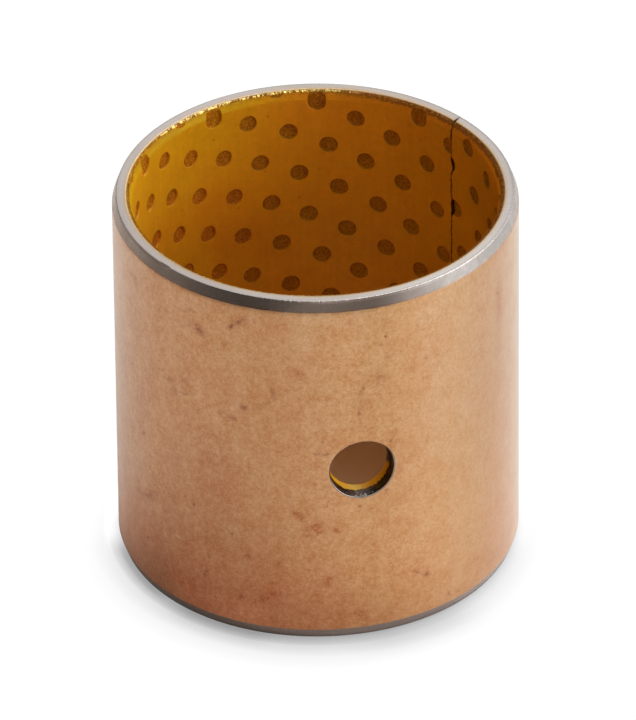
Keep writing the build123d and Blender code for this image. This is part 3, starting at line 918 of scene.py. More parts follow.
# =============================================================================
# Materials
# =============================================================================
class Paint:
    """A Principled material and short names for the nodes that feed it. Object
    coordinates are in metres, so a noise scale of 1000 has millimetre cells."""

    def __init__(self, name):
        self.m = bpy.data.materials.new(name)
        self.m.use_nodes = True
        self.t = self.m.node_tree
        self.b = self.t.nodes["Principled BSDF"]
        self.obj = self.t.nodes.new("ShaderNodeTexCoord").outputs["Object"]

    def put(self, socket, v):
        if isinstance(v, bpy.types.NodeSocket):
            self.t.links.new(v, socket)
        elif isinstance(v, (tuple, list)) and len(v) == 3 and socket.type == "RGBA":
            socket.default_value = (*v, 1)
        else:
            socket.default_value = v

    def math(self, op, a, b=0.0, clamp=False):
        n = self.t.nodes.new("ShaderNodeMath"); n.operation = op; n.use_clamp = clamp
        self.put(n.inputs[0], a); self.put(n.inputs[1], b)
        return n.outputs[0]

    def remap(self, v, f0, f1, t0, t1, kind="LINEAR"):
        n = self.t.nodes.new("ShaderNodeMapRange"); n.interpolation_type = kind
        for s, x in zip(("Value", "From Min", "From Max", "To Min", "To Max"), (v, f0, f1, t0, t1)):
            self.put(n.inputs[s], x)
        return n.outputs[0]

    def ease(self, v, v0, v1):
        """Rises smoothly from 0 at v0 to 1 at v1."""
        return self.remap(v, v0, v1, 0.0, 1.0, "SMOOTHSTEP")

    def both(self, a, b):
        return self.math("MULTIPLY", a, b)

    def shade(self, c, f, rgb):
        """Multiplies a colour by 1 + f * rgb."""
        n = self.t.nodes.new("ShaderNodeVectorMath"); n.operation = "MULTIPLY_ADD"
        self.t.links.new(f, n.inputs[0]); n.inputs[1].default_value = rgb; n.inputs[2].default_value = (1, 1, 1)
        m = self.t.nodes.new("ShaderNodeVectorMath"); m.operation = "MULTIPLY"
        self.t.links.new(n.outputs[0], m.inputs[1])
        if isinstance(c, tuple):
            m.inputs[0].default_value = c
        else:
            self.t.links.new(c, m.inputs[0])
        return m.outputs[0]

    def scaled(self, x, y, z):
        n = self.t.nodes.new("ShaderNodeVectorMath"); n.operation = "MULTIPLY"
        self.put(n.inputs[0], self.obj); n.inputs[1].default_value = (x, y, z)
        return n.outputs[0]

    def split(self):
        n = self.t.nodes.new("ShaderNodeSeparateXYZ"); self.put(n.inputs[0], self.obj)
        return n.outputs

    def arcs(self, across=0.35):
        """Coordinates round the axis and, slower, along radius and height: grain stretched over the narrow band."""
        x, y, z = self.split()
        r = self.radius()
        n = self.t.nodes.new("ShaderNodeCombineXYZ")
        self.put(n.inputs[0], self.math("MULTIPLY", self.math("ARCTAN2", x, self.math("MULTIPLY", y, -1.0)), 0.0231))
        self.put(n.inputs[1], self.math("MULTIPLY", r, across))
        self.put(n.inputs[2], self.math("MULTIPLY", z, across))
        return n.outputs[0]

    def radius(self):
        x, y, z = self.split()
        return self.math("SQRT", self.math("ADD", self.math("MULTIPLY", x, x), self.math("MULTIPLY", y, y)))

    def ringwise(self, along=25.0, across=1.0):
        """Coordinates that change slowly round the axis and fast with radius and height."""
        x, y, z = self.split()
        r = self.math("SQRT", self.math("ADD", self.math("MULTIPLY", x, x), self.math("MULTIPLY", y, y)))
        n = self.t.nodes.new("ShaderNodeCombineXYZ")
        self.put(n.inputs[0], self.math("MULTIPLY", self.math("ADD", r, z), across))
        self.put(n.inputs[1], self.math("MULTIPLY", x, 1 / along))
        self.put(n.inputs[2], self.math("MULTIPLY", y, 1 / along))
        return n.outputs[0]

    def noise(self, scale, detail=2.0, rough=0.5, vec=None, bend=0.0):
        n = self.t.nodes.new("ShaderNodeTexNoise")
        self.put(n.inputs["Vector"], vec or self.obj)
        n.inputs["Scale"].default_value = scale
        n.inputs["Detail"].default_value = detail
        n.inputs["Roughness"].default_value = rough
        n.inputs["Distortion"].default_value = bend
        return n.outputs["Fac"]

    def cells(self, scale, what="Distance", vec=None):
        n = self.t.nodes.new("ShaderNodeTexVoronoi")
        self.put(n.inputs["Vector"], vec or self.obj)
        n.inputs["Scale"].default_value = scale
        return n.outputs[what]

    def mix(self, fac, a, b, kind="MIX"):
        n = self.t.nodes.new("ShaderNodeMix"); n.data_type = "RGBA"; n.blend_type = kind
        self.put(n.inputs[0], fac); self.put(n.inputs[6], a); self.put(n.inputs[7], b)
        return n.outputs[2]

    def gain(self, colour, amount):
        """Multiplies a colour by a number."""
        n = self.t.nodes.new("ShaderNodeVectorMath"); n.operation = "SCALE"
        if isinstance(colour, tuple):
            n.inputs[0].default_value = colour
        else:
            self.t.links.new(colour, n.inputs[0])
        self.put(n.inputs["Scale"], amount)
        return n.outputs[0]

    def layer(self, name):
        n = self.t.nodes.new("ShaderNodeAttribute"); n.attribute_name = name
        s = self.t.nodes.new("ShaderNodeSeparateColor"); self.t.links.new(n.outputs["Color"], s.inputs[0])
        return s.outputs

    def bump(self, height, depth_mm, strength=1.0, after=None):
        n = self.t.nodes.new("ShaderNodeBump")
        self.put(n.inputs["Strength"], strength)
        n.inputs["Distance"].default_value = depth_mm * 0.001
        self.put(n.inputs["Height"], height)
        if after is not None:
            self.t.links.new(after, n.inputs["Normal"])
        return n.outputs[0]

    def done(self, **k):
        for name, v in k.items():
            self.put(self.b.inputs[name.replace("_", " ")], v)
        return self.m


def copper_flash():
    p = Paint("copper_flash")
    fine = p.noise(3700, 1.5, 0.6)
    mid = p.noise(1500, 2.0, 0.55)
    wide = p.noise(470, 2.0, 0.5)
    blotch = p.noise(205, 3.0, 0.55)
    streak = p.noise(900, 2.0, 0.5, vec=p.scaled(1, 1, 0.10))
    x, y, z = p.split()
    # redder and darker low at the left front: partly tarnish, partly painted shade
    low = p.remap(z, 0.022, 0.001, 0.0, 1.0, "SMOOTHSTEP")
    left = p.remap(x, 0.010, -0.018, 0.25, 1.0, "SMOOTHSTEP")
    tarnish_and_shade = p.both(p.math("MULTIPLY", low, left), p.remap(y, 0.001, 0.012, 1.0, 0.30, "SMOOTHSTEP"))
    fox = p.math("MULTIPLY", p.remap(p.noise(560, 5.0, 0.66), 0.475, 0.62, 0.0, 1.0), p.remap(blotch, 0.38, 0.62, 0.3, 1.0))
    red = p.math("ADD", p.remap(blotch, 0.42, 0.66, 0.03, 0.17), p.math("MULTIPLY", tarnish_and_shade, 0.60))
    red = p.math("ADD", red, p.math("MULTIPLY", fox, p.remap(tarnish_and_shade, 0.0, 1.0, 0.14, 0.26)), clamp=True)
    c = p.mix(red, COPPER_BASE, COPPER_RED)
    # grain: darker grains are also redder; quieter to the right
    g = p.math("ADD", p.remap(fine, 0.0, 1.0, -0.5 * GRAIN[0], 0.5 * GRAIN[0]), p.remap(mid, 0.0, 1.0, -0.5 * GRAIN[1], 0.5 * GRAIN[1]))
    g = p.math("ADD", g, p.remap(wide, 0.0, 1.0, -0.5 * GRAIN[2], 0.5 * GRAIN[2]))
    g = p.math("ADD", g, p.remap(streak, 0.3, 0.7, -0.02, 0.02))
    g = p.both(g, p.both(p.remap(x, 0.004, 0.018, 1.0, 0.62), p.remap(x, -0.016, -0.006, 1.15, 1.0)))
    c = p.shade(c, g, (0.64, 1.60, 3.10))
    # painted light and shade over the wall: lighter towards the top, paler painted reflections along the left and right
    # edges, and painted bands of light and shade across it and low down
    for f, rgb in ((p.ease(x, 0.0060, 0.0210), (-0.120, 0.0, 0.07)), (p.ease(z, 0.030, 0.046), (0.05, 0.08, 0.09)),
                   (p.math("SUBTRACT", p.ease(x, -0.0245, -0.0175), p.ease(x, -0.0060, 0.0020)), (-0.04, -0.095, -0.11)),
                   (p.math("SUBTRACT", p.ease(x, 0.0105, 0.0145), p.ease(x, 0.0165, 0.0195)), (0.05, 0.07, 0.11)),
                   (p.math("SUBTRACT", p.ease(x, 0.0185, 0.0212), p.ease(x, 0.0220, 0.0236)), (-0.03, -0.08, -0.08)),
                   (p.ease(x, 0.0228, 0.0243), (0.0, 0.03, 0.09)), (p.ease(x, -0.0237, -0.0248), (0.06, 0.09, 0.11)),
                   (p.both(p.both(p.ease(x, -0.0190, -0.0240), p.ease(y, 0.010, 0.001)), p.ease(z, 0.014, 0.005)), (0.15, 0.15, 0.12)),
                   (p.ease(x, -0.0238, -0.0247), (0.0, 0.03, 0.08)), (p.ease(x, 0.0205, 0.0235), (0.0, 0.01, 0.07)),
                   (p.both(p.ease(z, 0.0065, 0.0030), p.ease(x, -0.0238, -0.0247)), (0.10, 0.09, 0.10)),
                   (p.ease(x, -0.0232, -0.0247), (0.05, 0.07, 0.11)),
                   (p.math("SUBTRACT", p.ease(x, -0.0236, -0.0226), p.ease(x, -0.0198, -0.0180)), (-0.025, -0.055, -0.08)),
                   (p.math("SUBTRACT", p.ease(x, 0.0212, 0.0221), p.ease(x, 0.0236, 0.0242)), (-0.01, -0.045, -0.03)),
                   (p.math("SUBTRACT", p.ease(x, 0.0232, 0.0244), p.ease(x, 0.02475, 0.02500)), (0.0, 0.01, 0.04)),
                   (p.math("SUBTRACT", p.ease(x, 0.0040, 0.0065), p.ease(x, 0.0085, 0.0110)), (-0.05, -0.05, -0.09)),
                   (p.both(p.math("SUBTRACT", p.ease(x, 0.0110, 0.0140), p.ease(x, 0.0195, 0.0215)), p.ease(z, 0.024, 0.031)), (0.01, 0.0, 0.07)),
                   (p.both(p.math("SUBTRACT", p.ease(x, -0.0065, -0.0025), p.ease(x, 0.0050, 0.0090)), p.ease(z, 0.037, 0.044)), (0.03, 0.07, 0.12)),
                   (p.both(p.math("SUBTRACT", p.ease(x, -0.0030, -0.0005), p.ease(x, 0.0020, 0.0050)), p.ease(z, 0.013, 0.008)), (-0.05, -0.09, -0.12)),
                   (p.both(p.math("SUBTRACT", p.ease(x, -0.0190, -0.0165), p.ease(x, -0.0085, -0.0050)), p.ease(z, 0.0058, 0.0036)), (0.13, 0.13, 0.22)),
                   (p.both(p.ease(z, 0.014, 0.006), p.math("SUBTRACT", p.ease(x, -0.0220, -0.0150), p.ease(x, 0.0, 0.0045))), (0.02, -0.06, -0.05)),
                   (p.both(p.ease(z, 0.012, 0.004), p.ease(x, -0.004, 0.004)), (-0.05, -0.08, -0.12)),
                   (p.both(p.math("SUBTRACT", p.ease(x, -0.0205, -0.0175), p.ease(x, -0.0125, -0.0085)),
                           p.math("SUBTRACT", p.ease(z, 0.008, 0.013), p.ease(z, 0.024, 0.031))), (-0.07, -0.13, -0.16))):
        c = p.shade(c, f, rgb)
    # reddish freckles, gathered in patches
    spots = p.math("MULTIPLY", p.remap(p.noise(2300, 2.0, 0.65), 0.61, 0.72, 0.0, 1.0), p.remap(p.noise(310, 2.0, 0.6), 0.42, 0.60, 0.15, 1.0))
    c = p.shade(c, spots, (-0.12, -0.22, -0.20))
    dark, stain, pale = p.layer("wear_and_painted_light")[0:3]
    ragged = p.remap(p.noise(1900, 4.0, 0.70, bend=0.6), 0.39, 0.58, 0.1, 1.8)
    dark = p.math("MULTIPLY", dark, p.math("ADD", p.math("MULTIPLY", ragged, 0.8), 0.25))
    stain = p.math("MULTIPLY", stain, p.math("ADD", p.math("MULTIPLY", ragged, 0.85), 0.15))
    c = p.shade(c, p.math("MINIMUM", dark, 1.25), (-0.50, -0.73, -0.73))
    c = p.shade(c, p.math("MINIMUM", stain, 1.20), (-0.24, -0.50, -0.62))
    c = p.mix(p.math("MULTIPLY", pale, 0.55, clamp=True), c, (0.90, 0.68, 0.44))
    rough = p.math("ADD", p.remap(mid, 0.3, 0.7, COPPER_ROUGH - 0.035, COPPER_ROUGH + 0.045), p.math("MULTIPLY", dark, 0.08))
    worn = p.math("ADD", p.math("MULTIPLY", dark, 0.85), p.math("ADD", p.math("MULTIPLY", stain, 0.6), p.math("MULTIPLY", red, 0.35)), clamp=True)
    return p.done(Base_Color=c, Metallic=COPPER_METAL, Roughness=rough, Coat_Weight=p.remap(worn, 0.0, 1.0, COPPER_COAT, 0.0), Coat_Roughness=0.30,
                  Sheen_Weight=0.30, Sheen_Roughness=0.35,
                  Normal=p.bump(p.math("ADD", fine, p.math("MULTIPLY", mid, 1.5)), 0.006, 0.20))


def turned_steel(name, base, stain, rough, painted_light=lambda p, x, y, z: ()):
    p = Paint(name)
    marks = p.noise(9000, 2.0, 0.6, vec=p.ringwise(45.0))
    coarse = p.noise(2300, 2.0, 0.6, vec=p.ringwise(18.0))
    blot = p.noise(760, 3.0, 0.6)
    speck = p.noise(3800, 1.0, 0.5)
    grime_and_gap_shade = p.layer("wear_and_painted_light")[0]
    g = p.math("ADD", p.remap(marks, 0.25, 0.75, 0.965, 1.035), p.remap(coarse, 0.3, 0.7, -0.035, 0.035))
    g = p.math("ADD", g, p.remap(speck, 0.68, 0.82, 0.0, -0.12))
    c = p.gain(p.mix(p.remap(blot, 0.40, 0.66, 0.0, 0.55), base, stain), g)
    # painted light and shade over the turned faces
    for f, rgb in painted_light(p, *p.split()):
        c = p.shade(c, f, rgb)
    # dark smudges, and beside the seam on the end face painted shade of the gap
    c = p.mix(grime_and_gap_shade, c, (0.045, 0.035, 0.028))
    return p.done(Base_Color=c, Metallic=1.0, Roughness=p.remap(blot, 0.3, 0.7, rough - 0.04, rough + 0.05),
                  Normal=p.bump(p.math("ADD", marks, coarse), 0.0015, 0.30))


def face_bronze_and_painted_light(p, x, y, z):
    """Bronze dragged over the inner edge of the flat; painted light and shade besides: brighter at the right front,
    duller at the left front, the outer edge darkened on the right as painted shade over its highlight.
    """
    r = p.radius()
    edge = p.math("MULTIPLY", p.ease(r, 0.02385, 0.02336), p.remap(p.noise(900, 2.0, 0.6), 0.3, 0.7, 0.6, 1.3))
    front = p.ease(y, 0.006, -0.006)
    return ((edge, (0.06, -0.14, -0.42)), (p.both(front, p.ease(x, 0.002, 0.016)), (0.15, 0.17, 0.20)),
            (p.both(front, p.ease(x, -0.004, -0.016)), (-0.07, -0.09, -0.09)), (p.ease(y, 0.006, 0.018), (0.06, 0.03, -0.02)),
            (p.both(p.ease(r, 0.02412, 0.02440), p.ease(x, 0.004, 0.012)), (-0.22, -0.22, -0.22)), (p.both(p.ease(r, 0.02412, 0.02440), p.ease(x, 0.004, -0.004)), (-0.08, -0.08, -0.08)),
            (p.both(p.both(p.ease(y, 0.004, 0.012), p.ease(x, 0.002, -0.004)), p.ease(r, 0.02372, 0.02345)), (-0.02, 0.05, 0.22)),
            (p.both(p.ease(y, 0.0062, 0.0010), p.ease(x, 0.0212, 0.0231)), (-0.075, -0.08, -0.06)), (p.both(p.ease(y, 0.004, 0.012), p.ease(x, 0.010, 0.017)), (0.0, 0.01, 0.06)),
            (p.both(p.ease(y, 0.008, 0.016), p.ease(x, -0.002, -0.009)), (0.03, 0.055, 0.11)),
            (p.both(p.ease(y, -0.012, -0.018), p.ease(x, 0.003, 0.007)), (0.04, 0.045, 0.045)))


# Painted light and shade on the chamfer: a painted highlight along its top at the front, painted shade along its top at
# the left, lighter at the far right; redder next to the copper.
def chamfer_painted_light(p, x, y, z):
    r = p.radius()
    top = p.ease(r, 0.02468, 0.02456)
    return ((p.both(top, p.ease(x, -0.0150, -0.0220)), (-0.24, -0.26, -0.26)),
            (p.both(top, p.math("SUBTRACT", p.ease(x, -0.0025, 0.0010), p.ease(x, 0.012, 0.017))), (0.42, 0.42, 0.48)),
            (p.both(top, p.math("SUBTRACT", p.ease(x, -0.001, 0.0015), p.ease(x, 0.004, 0.0065))), (0.16, 0.12, 0.13)),
            (p.ease(x, 0.0243, 0.0248), (0.13, 0.11, 0.09)),
            (p.ease(r, 0.02493, 0.02500), (0.06, -0.13, -0.20)),
            (p.ease(x, 0.012, 0.004), (0.07, -0.03, -0.12)), (p.ease(x, 0.010, 0.018), (-0.05, 0.05, 0.11)),
            (p.ease(x, 0.0232, 0.0246), (0.15, 0.10, 0.08)))


# Painted light and shade on the bottom chamfer: painted shade at its lowest edge and at the far left, lighter towards
# the right.
def foot_painted_light(p, x, y, z):
    return ((p.ease(z, 0.0006, 0.0002), (-0.16, -0.20, -0.22)), (p.ease(x, -0.0225, -0.0240), (-0.48, -0.55, -0.62)), (p.ease(x, -0.0195, -0.0218), (0.26, 0.0, -0.12)), (p.ease(x, -0.008, 0.004), (0.08, 0.15, 0.22)), (p.ease(x, 0.014, 0.020), (0.15, 0.15, 0.15)),
            (p.math("SUBTRACT", p.ease(x, 0.010, 0.016), p.ease(x, 0.0205, 0.0230)), (0.07, 0.10, 0.12)), (p.ease(x, 0.0222, 0.0238), (-0.02, -0.07, -0.12)))


def sheared_steel():
    p = Paint("sheared_steel")
    tear = p.noise(2400, 3.0, 0.65)
    fine = p.noise(7000, 2.0, 0.6)
    lit, pale = p.layer("wear_and_painted_light")[1:3]
    c = p.mix(p.remap(tear, 0.40, 0.66, 0.0, 1.0), SHEAR_DARK, SHEAR_LIGHT)
    c = p.gain(c, p.remap(fine, 0.2, 0.8, 0.85, 1.12))
    # painted light: lighter low on the hole's wall, where light falls in from above, darker round the rest
    c = p.shade(c, p.math("SUBTRACT", lit, 0.30), (1.30, 1.15, 1.00))
    c = p.mix(pale, c, (0.92, 0.88, 0.84))
    return p.done(Base_Color=c, Metallic=0.92, Roughness=p.remap(tear, 0.3, 0.7, 0.42, 0.27),
                  Normal=p.bump(tear, 0.02, 0.7))


def hole_edge():
    """The small break round the hole: dull at the top left, paler at the bottom right."""
    p = Paint("hole_edge")
    n = p.noise(3000, 2.0, 0.6)
    c = p.mix(p.layer("wear_and_painted_light")[2], (0.17, 0.090, 0.055), (0.37, 0.235, 0.175))
    return p.done(Base_Color=p.gain(c, p.remap(n, 0.3, 0.7, 0.85, 1.15)), Metallic=0.65, Roughness=0.50)


# The seam's end faces: near black, painted shade of the narrow gap
def seam_face_shade():
    p = Paint("seam_face_shade")
    n = p.noise(2600, 3.0, 0.6)
    c = p.mix(p.remap(n, 0.4, 0.65, 0.0, 1.0), (0.030, 0.022, 0.017), (0.085, 0.065, 0.052))
    return p.done(Base_Color=c, Metallic=0.5, Roughness=0.5, Normal=p.bump(n, 0.01, 0.5))


def burnished_lip():
    """The steel's inner break, with bronze dragged over it, heavier towards the bronze."""
    p = Paint("burnished_lip")
    n = p.noise(2600, 2.0, 0.6)
    r = p.radius()
    c = p.mix(p.math("ADD", p.ease(r, 0.02326, 0.02340), p.remap(n, 0.3, 0.7, -0.22, 0.22), clamp=True), (0.40, 0.205, 0.065), (0.66, 0.50, 0.27))
    x, y, z = p.split()
    # painted light and shade by side: darker to the right and at the back, lighter and greener at the far left
    c = p.shade(c, p.ease(x, 0.000, 0.008), (-0.08, -0.18, -0.36))
    c = p.shade(c, p.both(p.ease(y, 0.004, 0.012), p.ease(x, -0.002, -0.006)), (-0.10, -0.04, 0.08))
    c = p.shade(c, p.ease(x, -0.0195, -0.0220), (0.04, 0.13, 0.02))
    c = p.shade(c, p.both(p.ease(y, 0.005, 0.012), p.ease(x, 0.0145, 0.0185)), (-0.06, -0.10, -0.25))
    # grime, and painted shade of the seam's gap, beside the seam
    c = p.mix(p.layer("wear_and_painted_light")[0], c, (0.045, 0.035, 0.028))
    return p.done(Base_Color=c, Metallic=0.40, Roughness=0.45, Normal=p.bump(n, 0.004, 0.4))


def sintered_bronze():
    """Painted shade makes it dull and brown to the right, painted glints make it glitter at the back left; smeared
    yellow at the left.
    """
    p = Paint("sintered_bronze")
    round_it = p.arcs(0.45)
    grain = p.noise(3600, 3.0, 0.70, vec=round_it)
    tone = p.noise(1100, 2.0, 0.6)
    fine = p.noise(7000, 1.0, 0.6)
    x, y, z = p.split()
    left = p.ease(x, -0.0175, -0.0200)
    right = p.ease(x, 0.0020, 0.0065)
    lit = p.remap(p.math("ADD", grain, p.math("MULTIPLY", tone, 0.35)), 0.63, 0.75, 0.0, 1.0)
    outer = p.ease(p.radius(), 0.02296, 0.02314)
    # real grains, lightened as painted glints at the back, darkened as painted shade on the right
    c = p.mix(lit, p.mix(outer, (0.17, 0.070, 0.008), (0.27, 0.130, 0.018)), p.mix(outer, (0.64, 0.38, 0.085), (0.95, 0.75, 0.27)))
    c = p.shade(c, p.math("SUBTRACT", p.ease(x, -0.0062, -0.0040), p.ease(x, 0.0035, 0.0060)), (0.36, 0.38, 0.25))
    c = p.mix(right, c, p.mix(lit, (0.27, 0.082, 0.009), (0.52, 0.200, 0.040)))
    c = p.mix(left, c, p.mix(lit, (0.235, 0.090, 0.001), (0.40, 0.180, 0.006)))
    c = p.gain(c, p.remap(fine, 0.2, 0.8, 0.85, 1.15))
    return p.done(Base_Color=c, Metallic=0.80, Roughness=p.remap(lit, 0.0, 1.0, 0.55, 0.36), Specular_IOR_Level=0.2,
                  Normal=p.bump(p.math("ADD", grain, p.math("MULTIPLY", fine, 0.4)), 0.06, p.remap(p.math("MAXIMUM", left, right), 0.0, 1.0, 0.75, 0.35)))


def bore_painted_light(p, c):
    """Painted light and shade on the lining: lighter and yellower high on the left, redder half way down and to the
    right.
    """
    x, y, z = p.split()
    left, right = p.ease(x, 0.0, -0.014), p.ease(x, 0.006, 0.020)
    centre = p.math("SUBTRACT", 1.0, p.math("ADD", left, right), clamp=True)
    top = p.ease(z, 0.039, 0.048)
    mid = p.math("SUBTRACT", p.ease(z, 0.041, 0.035), p.ease(z, 0.030, 0.022))
    for f, rgb in ((p.both(top, left), (0.03, 0.14, -0.20)), (p.both(top, centre), (0.15, 0.05, 0.55)), (p.both(top, right), (0.10, 0.01, 0.25)),
                   (p.both(mid, left), (-0.08, -0.20, -0.15)), (p.both(mid, centre), (-0.06, -0.07, -0.10)),
                   (p.both(mid, right), (0.05, 0.09, 0.20)), (right, (-0.16, -0.14, -0.15)), (left, (0.02, 0.09, 0.45)),
                   (p.both(p.ease(x, 0.0188, 0.0212), p.ease(z, 0.0480, 0.0470)), (-0.12, -0.07, 0.0)), (p.ease(z, 0.036, 0.030), (-0.055, 0.0, 0.0)),
                   (p.both(p.ease(z, 0.035, 0.031), p.math("SUBTRACT", p.ease(x, -0.0005, -0.0050), p.ease(x, -0.0110, -0.0145))), (-0.04, -0.12, 0.0)),
                   (p.both(p.ease(z, 0.0445, 0.041), p.ease(x, -0.0125, -0.0165)), (0.0, 0.07, 0.0))):
        c = p.shade(c, f, rgb)
    return c


def amber_acetal():
    p = Paint("amber_acetal")
    fine = p.noise(5200, 2.0, 0.6)
    mid = p.noise(1050, 3.0, 0.6)
    wide = p.noise(260, 2.0, 0.5)
    run = p.noise(1700, 2.0, 0.5, vec=p.scaled(1, 1, 0.07))
    g = p.math("ADD", p.remap(fine, 0.2, 0.8, 0.93, 1.07), p.remap(mid, 0.3, 0.7, -0.055, 0.055))
    g = p.math("ADD", g, p.remap(run, 0.3, 0.7, -0.03, 0.03))
    c = p.gain(p.mix(p.remap(wide, 0.35, 0.68, 0.0, 0.5), LINING_BASE, LINING_DEEP), g)
    c = bore_painted_light(p, c)
    dark = p.layer("specks_and_shade")[0]
    c = p.mix(p.math("MULTIPLY", dark, 0.95, clamp=True), c, (0.155, 0.030, 0.001))
    return p.done(Base_Color=c, Roughness=p.remap(mid, 0.3, 0.7, LINING_ROUGH - 0.04, LINING_ROUGH + 0.05), Specular_IOR_Level=LINING_SPEC,
                  Normal=p.bump(p.math("ADD", fine, mid), 0.006, 0.5))


def pocket_floor():
    p = Paint("pocket_floor")
    grain = p.noise(3400, 3.0, 0.7)
    cells = p.cells(4200)
    x, y, z = p.split()
    c = p.mix(p.remap(grain, 0.36, 0.62, 0.0, 1.0), FLOOR_DARK, FLOOR_LIGHT)
    c = p.mix(p.remap(cells, 0.50, 0.72, 0.0, 0.5), c, FLOOR_DARK)
    # painted glints: single bronze grains lightened, most of all on the left
    painted_glint = p.both(p.remap(p.noise(5200, 2.0, 0.6), 0.58, 0.68, 0.0, 1.0), p.remap(x, -0.012, 0.010, 0.55, 0.20))
    c = p.mix(painted_glint, c, (0.80, 0.40, 0.055))
    # painted light and shade by side and height, as on the bore
    c = bore_painted_light(p, p.shade(c, p.ease(x, -0.004, -0.016), (0.32, 0.05, -0.15)))
    c = p.shade(c, p.ease(x, 0.006, 0.018), (0.16, 0.16, 0.0))
    c = p.shade(c, p.both(p.ease(z, 0.036, 0.030), p.ease(x, -0.009, 0.0)), (0.08, 0.12, 0.0))
    return p.done(Base_Color=c, Roughness=0.60, Specular_IOR_Level=0.05, Normal=p.bump(p.math("ADD", grain, cells), 0.022, 0.6))


def cut_acetal():
    p = Paint("cut_acetal")
    mid = p.noise(1400, 3.0, 0.6)
    lines = p.noise(5200, 2.0, 0.6, vec=p.ringwise(30.0))
    c = p.gain(p.mix(p.remap(mid, 0.35, 0.66, 0.0, 1.0), CUT_BASE, CUT_DEEP), p.remap(lines, 0.3, 0.7, 0.93, 1.07))
    grime_and_gap_shade, lip_dark_and_shadow, pale = p.layer("specks_and_shade")[0:3]
    c = p.mix(p.math("MULTIPLY", pale, p.remap(mid, 0.3, 0.7, 0.55, 1.0), clamp=True), c, (0.80, 0.49, 0.050))
    # bronze grains smeared into the plastic beside the interlayer, at both ends; wider and browner to the right, which
    # is painted shade
    x, y, z = p.split()
    right = p.ease(x, -0.002, 0.010)
    # painted light and shade by side on the cut faces, besides the bore's
    c = p.shade(bore_painted_light(p, c), right, (0.10, -0.06, 0.20))
    c = p.shade(c, p.ease(x, -0.002, -0.010), (-0.05, 0.10, 0.10))
    c = p.shade(c, p.ease(x, -0.0150, -0.0185), (-0.13, -0.16, -0.10))
    c = p.shade(c, p.ease(x, 0.0185, 0.0215), (0.15, 0.15, 0.10))
    c = p.shade(c, p.math("SUBTRACT", p.ease(x, 0.0020, 0.0050), p.ease(x, 0.0100, 0.0130)), (-0.14, -0.14, 0.0))
    edge = p.remap(p.radius(), 0.02268, 0.02293, 0.0, 1.0)
    ends = p.remap(p.math("ABSOLUTE", p.math("SUBTRACT", z, 0.024875)), 0.0222, 0.0226, 0.0, 1.0)
    smear = p.math("ADD", p.noise(4200, 2.0, 0.6), p.both(edge, p.remap(right, 0.0, 1.0, 0.24, 0.42)))
    smear = p.both(p.remap(smear, 0.58, 0.74, 0.0, 0.80), p.remap(right, 0.0, 1.0, 0.60, 1.0))
    c = p.mix(p.math("MULTIPLY", p.math("MULTIPLY", smear, ends), p.remap(edge, 0.0, 0.35, 0.0, 1.0)), c, p.mix(right, (0.40, 0.145, 0.010), (0.235, 0.078, 0.012)))
    # dark specks and seam grime, painted shade in the seam's gap, and the hole's lip darkened with a painted shadow on
    # its outer rows
    c = p.mix(p.math("MAXIMUM", p.math("MULTIPLY", grime_and_gap_shade, 0.93), p.math("MULTIPLY", lip_dark_and_shadow, 0.93)), c, (0.055, 0.027, 0.010))
    return p.done(Base_Color=c, Roughness=0.42, Specular_IOR_Level=0.12, Normal=p.bump(p.math("ADD", lines, mid), 0.004, 0.5))


COPPER_BASE, COPPER_RED = (0.769, 0.392, 0.156), (0.690, 0.245, 0.082)
COPPER_METAL, COPPER_ROUGH, COPPER_COAT = 0.85, 0.46, 0.90
GRAIN = (0.57, 0.47, 0.33)
FACE_BASE, CHAMFER_BASE, FOOT_BASE = (0.568, 0.507, 0.468), (0.499, 0.419, 0.373), (0.386, 0.288, 0.239)
LINING_BASE, LINING_DEEP, LINING_ROUGH, LINING_SPEC = (0.735, 0.298, 0.0060), (0.670, 0.249, 0.0048), 0.40, 0.24
SHEAR_DARK, SHEAR_LIGHT = (0.028, 0.023, 0.020), (0.105, 0.087, 0.078)
FLOOR_DARK, FLOOR_LIGHT = (0.235, 0.080, 0.003), (0.48, 0.185, 0.006)
CUT_BASE, CUT_DEEP = (0.73, 0.305, 0.0050), (0.66, 0.262, 0.0040)


# =============================================================================
# Pieces
# =============================================================================
def add(shell, name, node, materials, attribute=None):
    ob = shell.mesh(name, materials, attribute=attribute)
    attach(ob, "root")
    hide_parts(node)
    return ob


shell, wear_and_painted_light = build_steel()
add(shell, "steel_shell", "steel_backing",
    [copper_flash(), turned_steel("turned_face", FACE_BASE, (0.49, 0.44, 0.40), 0.27, face_bronze_and_painted_light), sheared_steel(), burnished_lip(),
     turned_steel("turned_chamfer", CHAMFER_BASE, (0.40, 0.325, 0.275), 0.28, chamfer_painted_light),
     turned_steel("turned_foot", FOOT_BASE, (0.35, 0.26, 0.215), 0.29, foot_painted_light), seam_face_shade(), hole_edge()], ("wear_and_painted_light", wear_and_painted_light))
add(build_bronze(), "bronze_sinter", "bronze_interlayer", [sintered_bronze()])
shell, specks_and_shade = build_lining()
add(shell, "acetal_liner", "acetal_lining", [amber_acetal(), pocket_floor(), cut_acetal()], ("specks_and_shade", specks_and_shade))
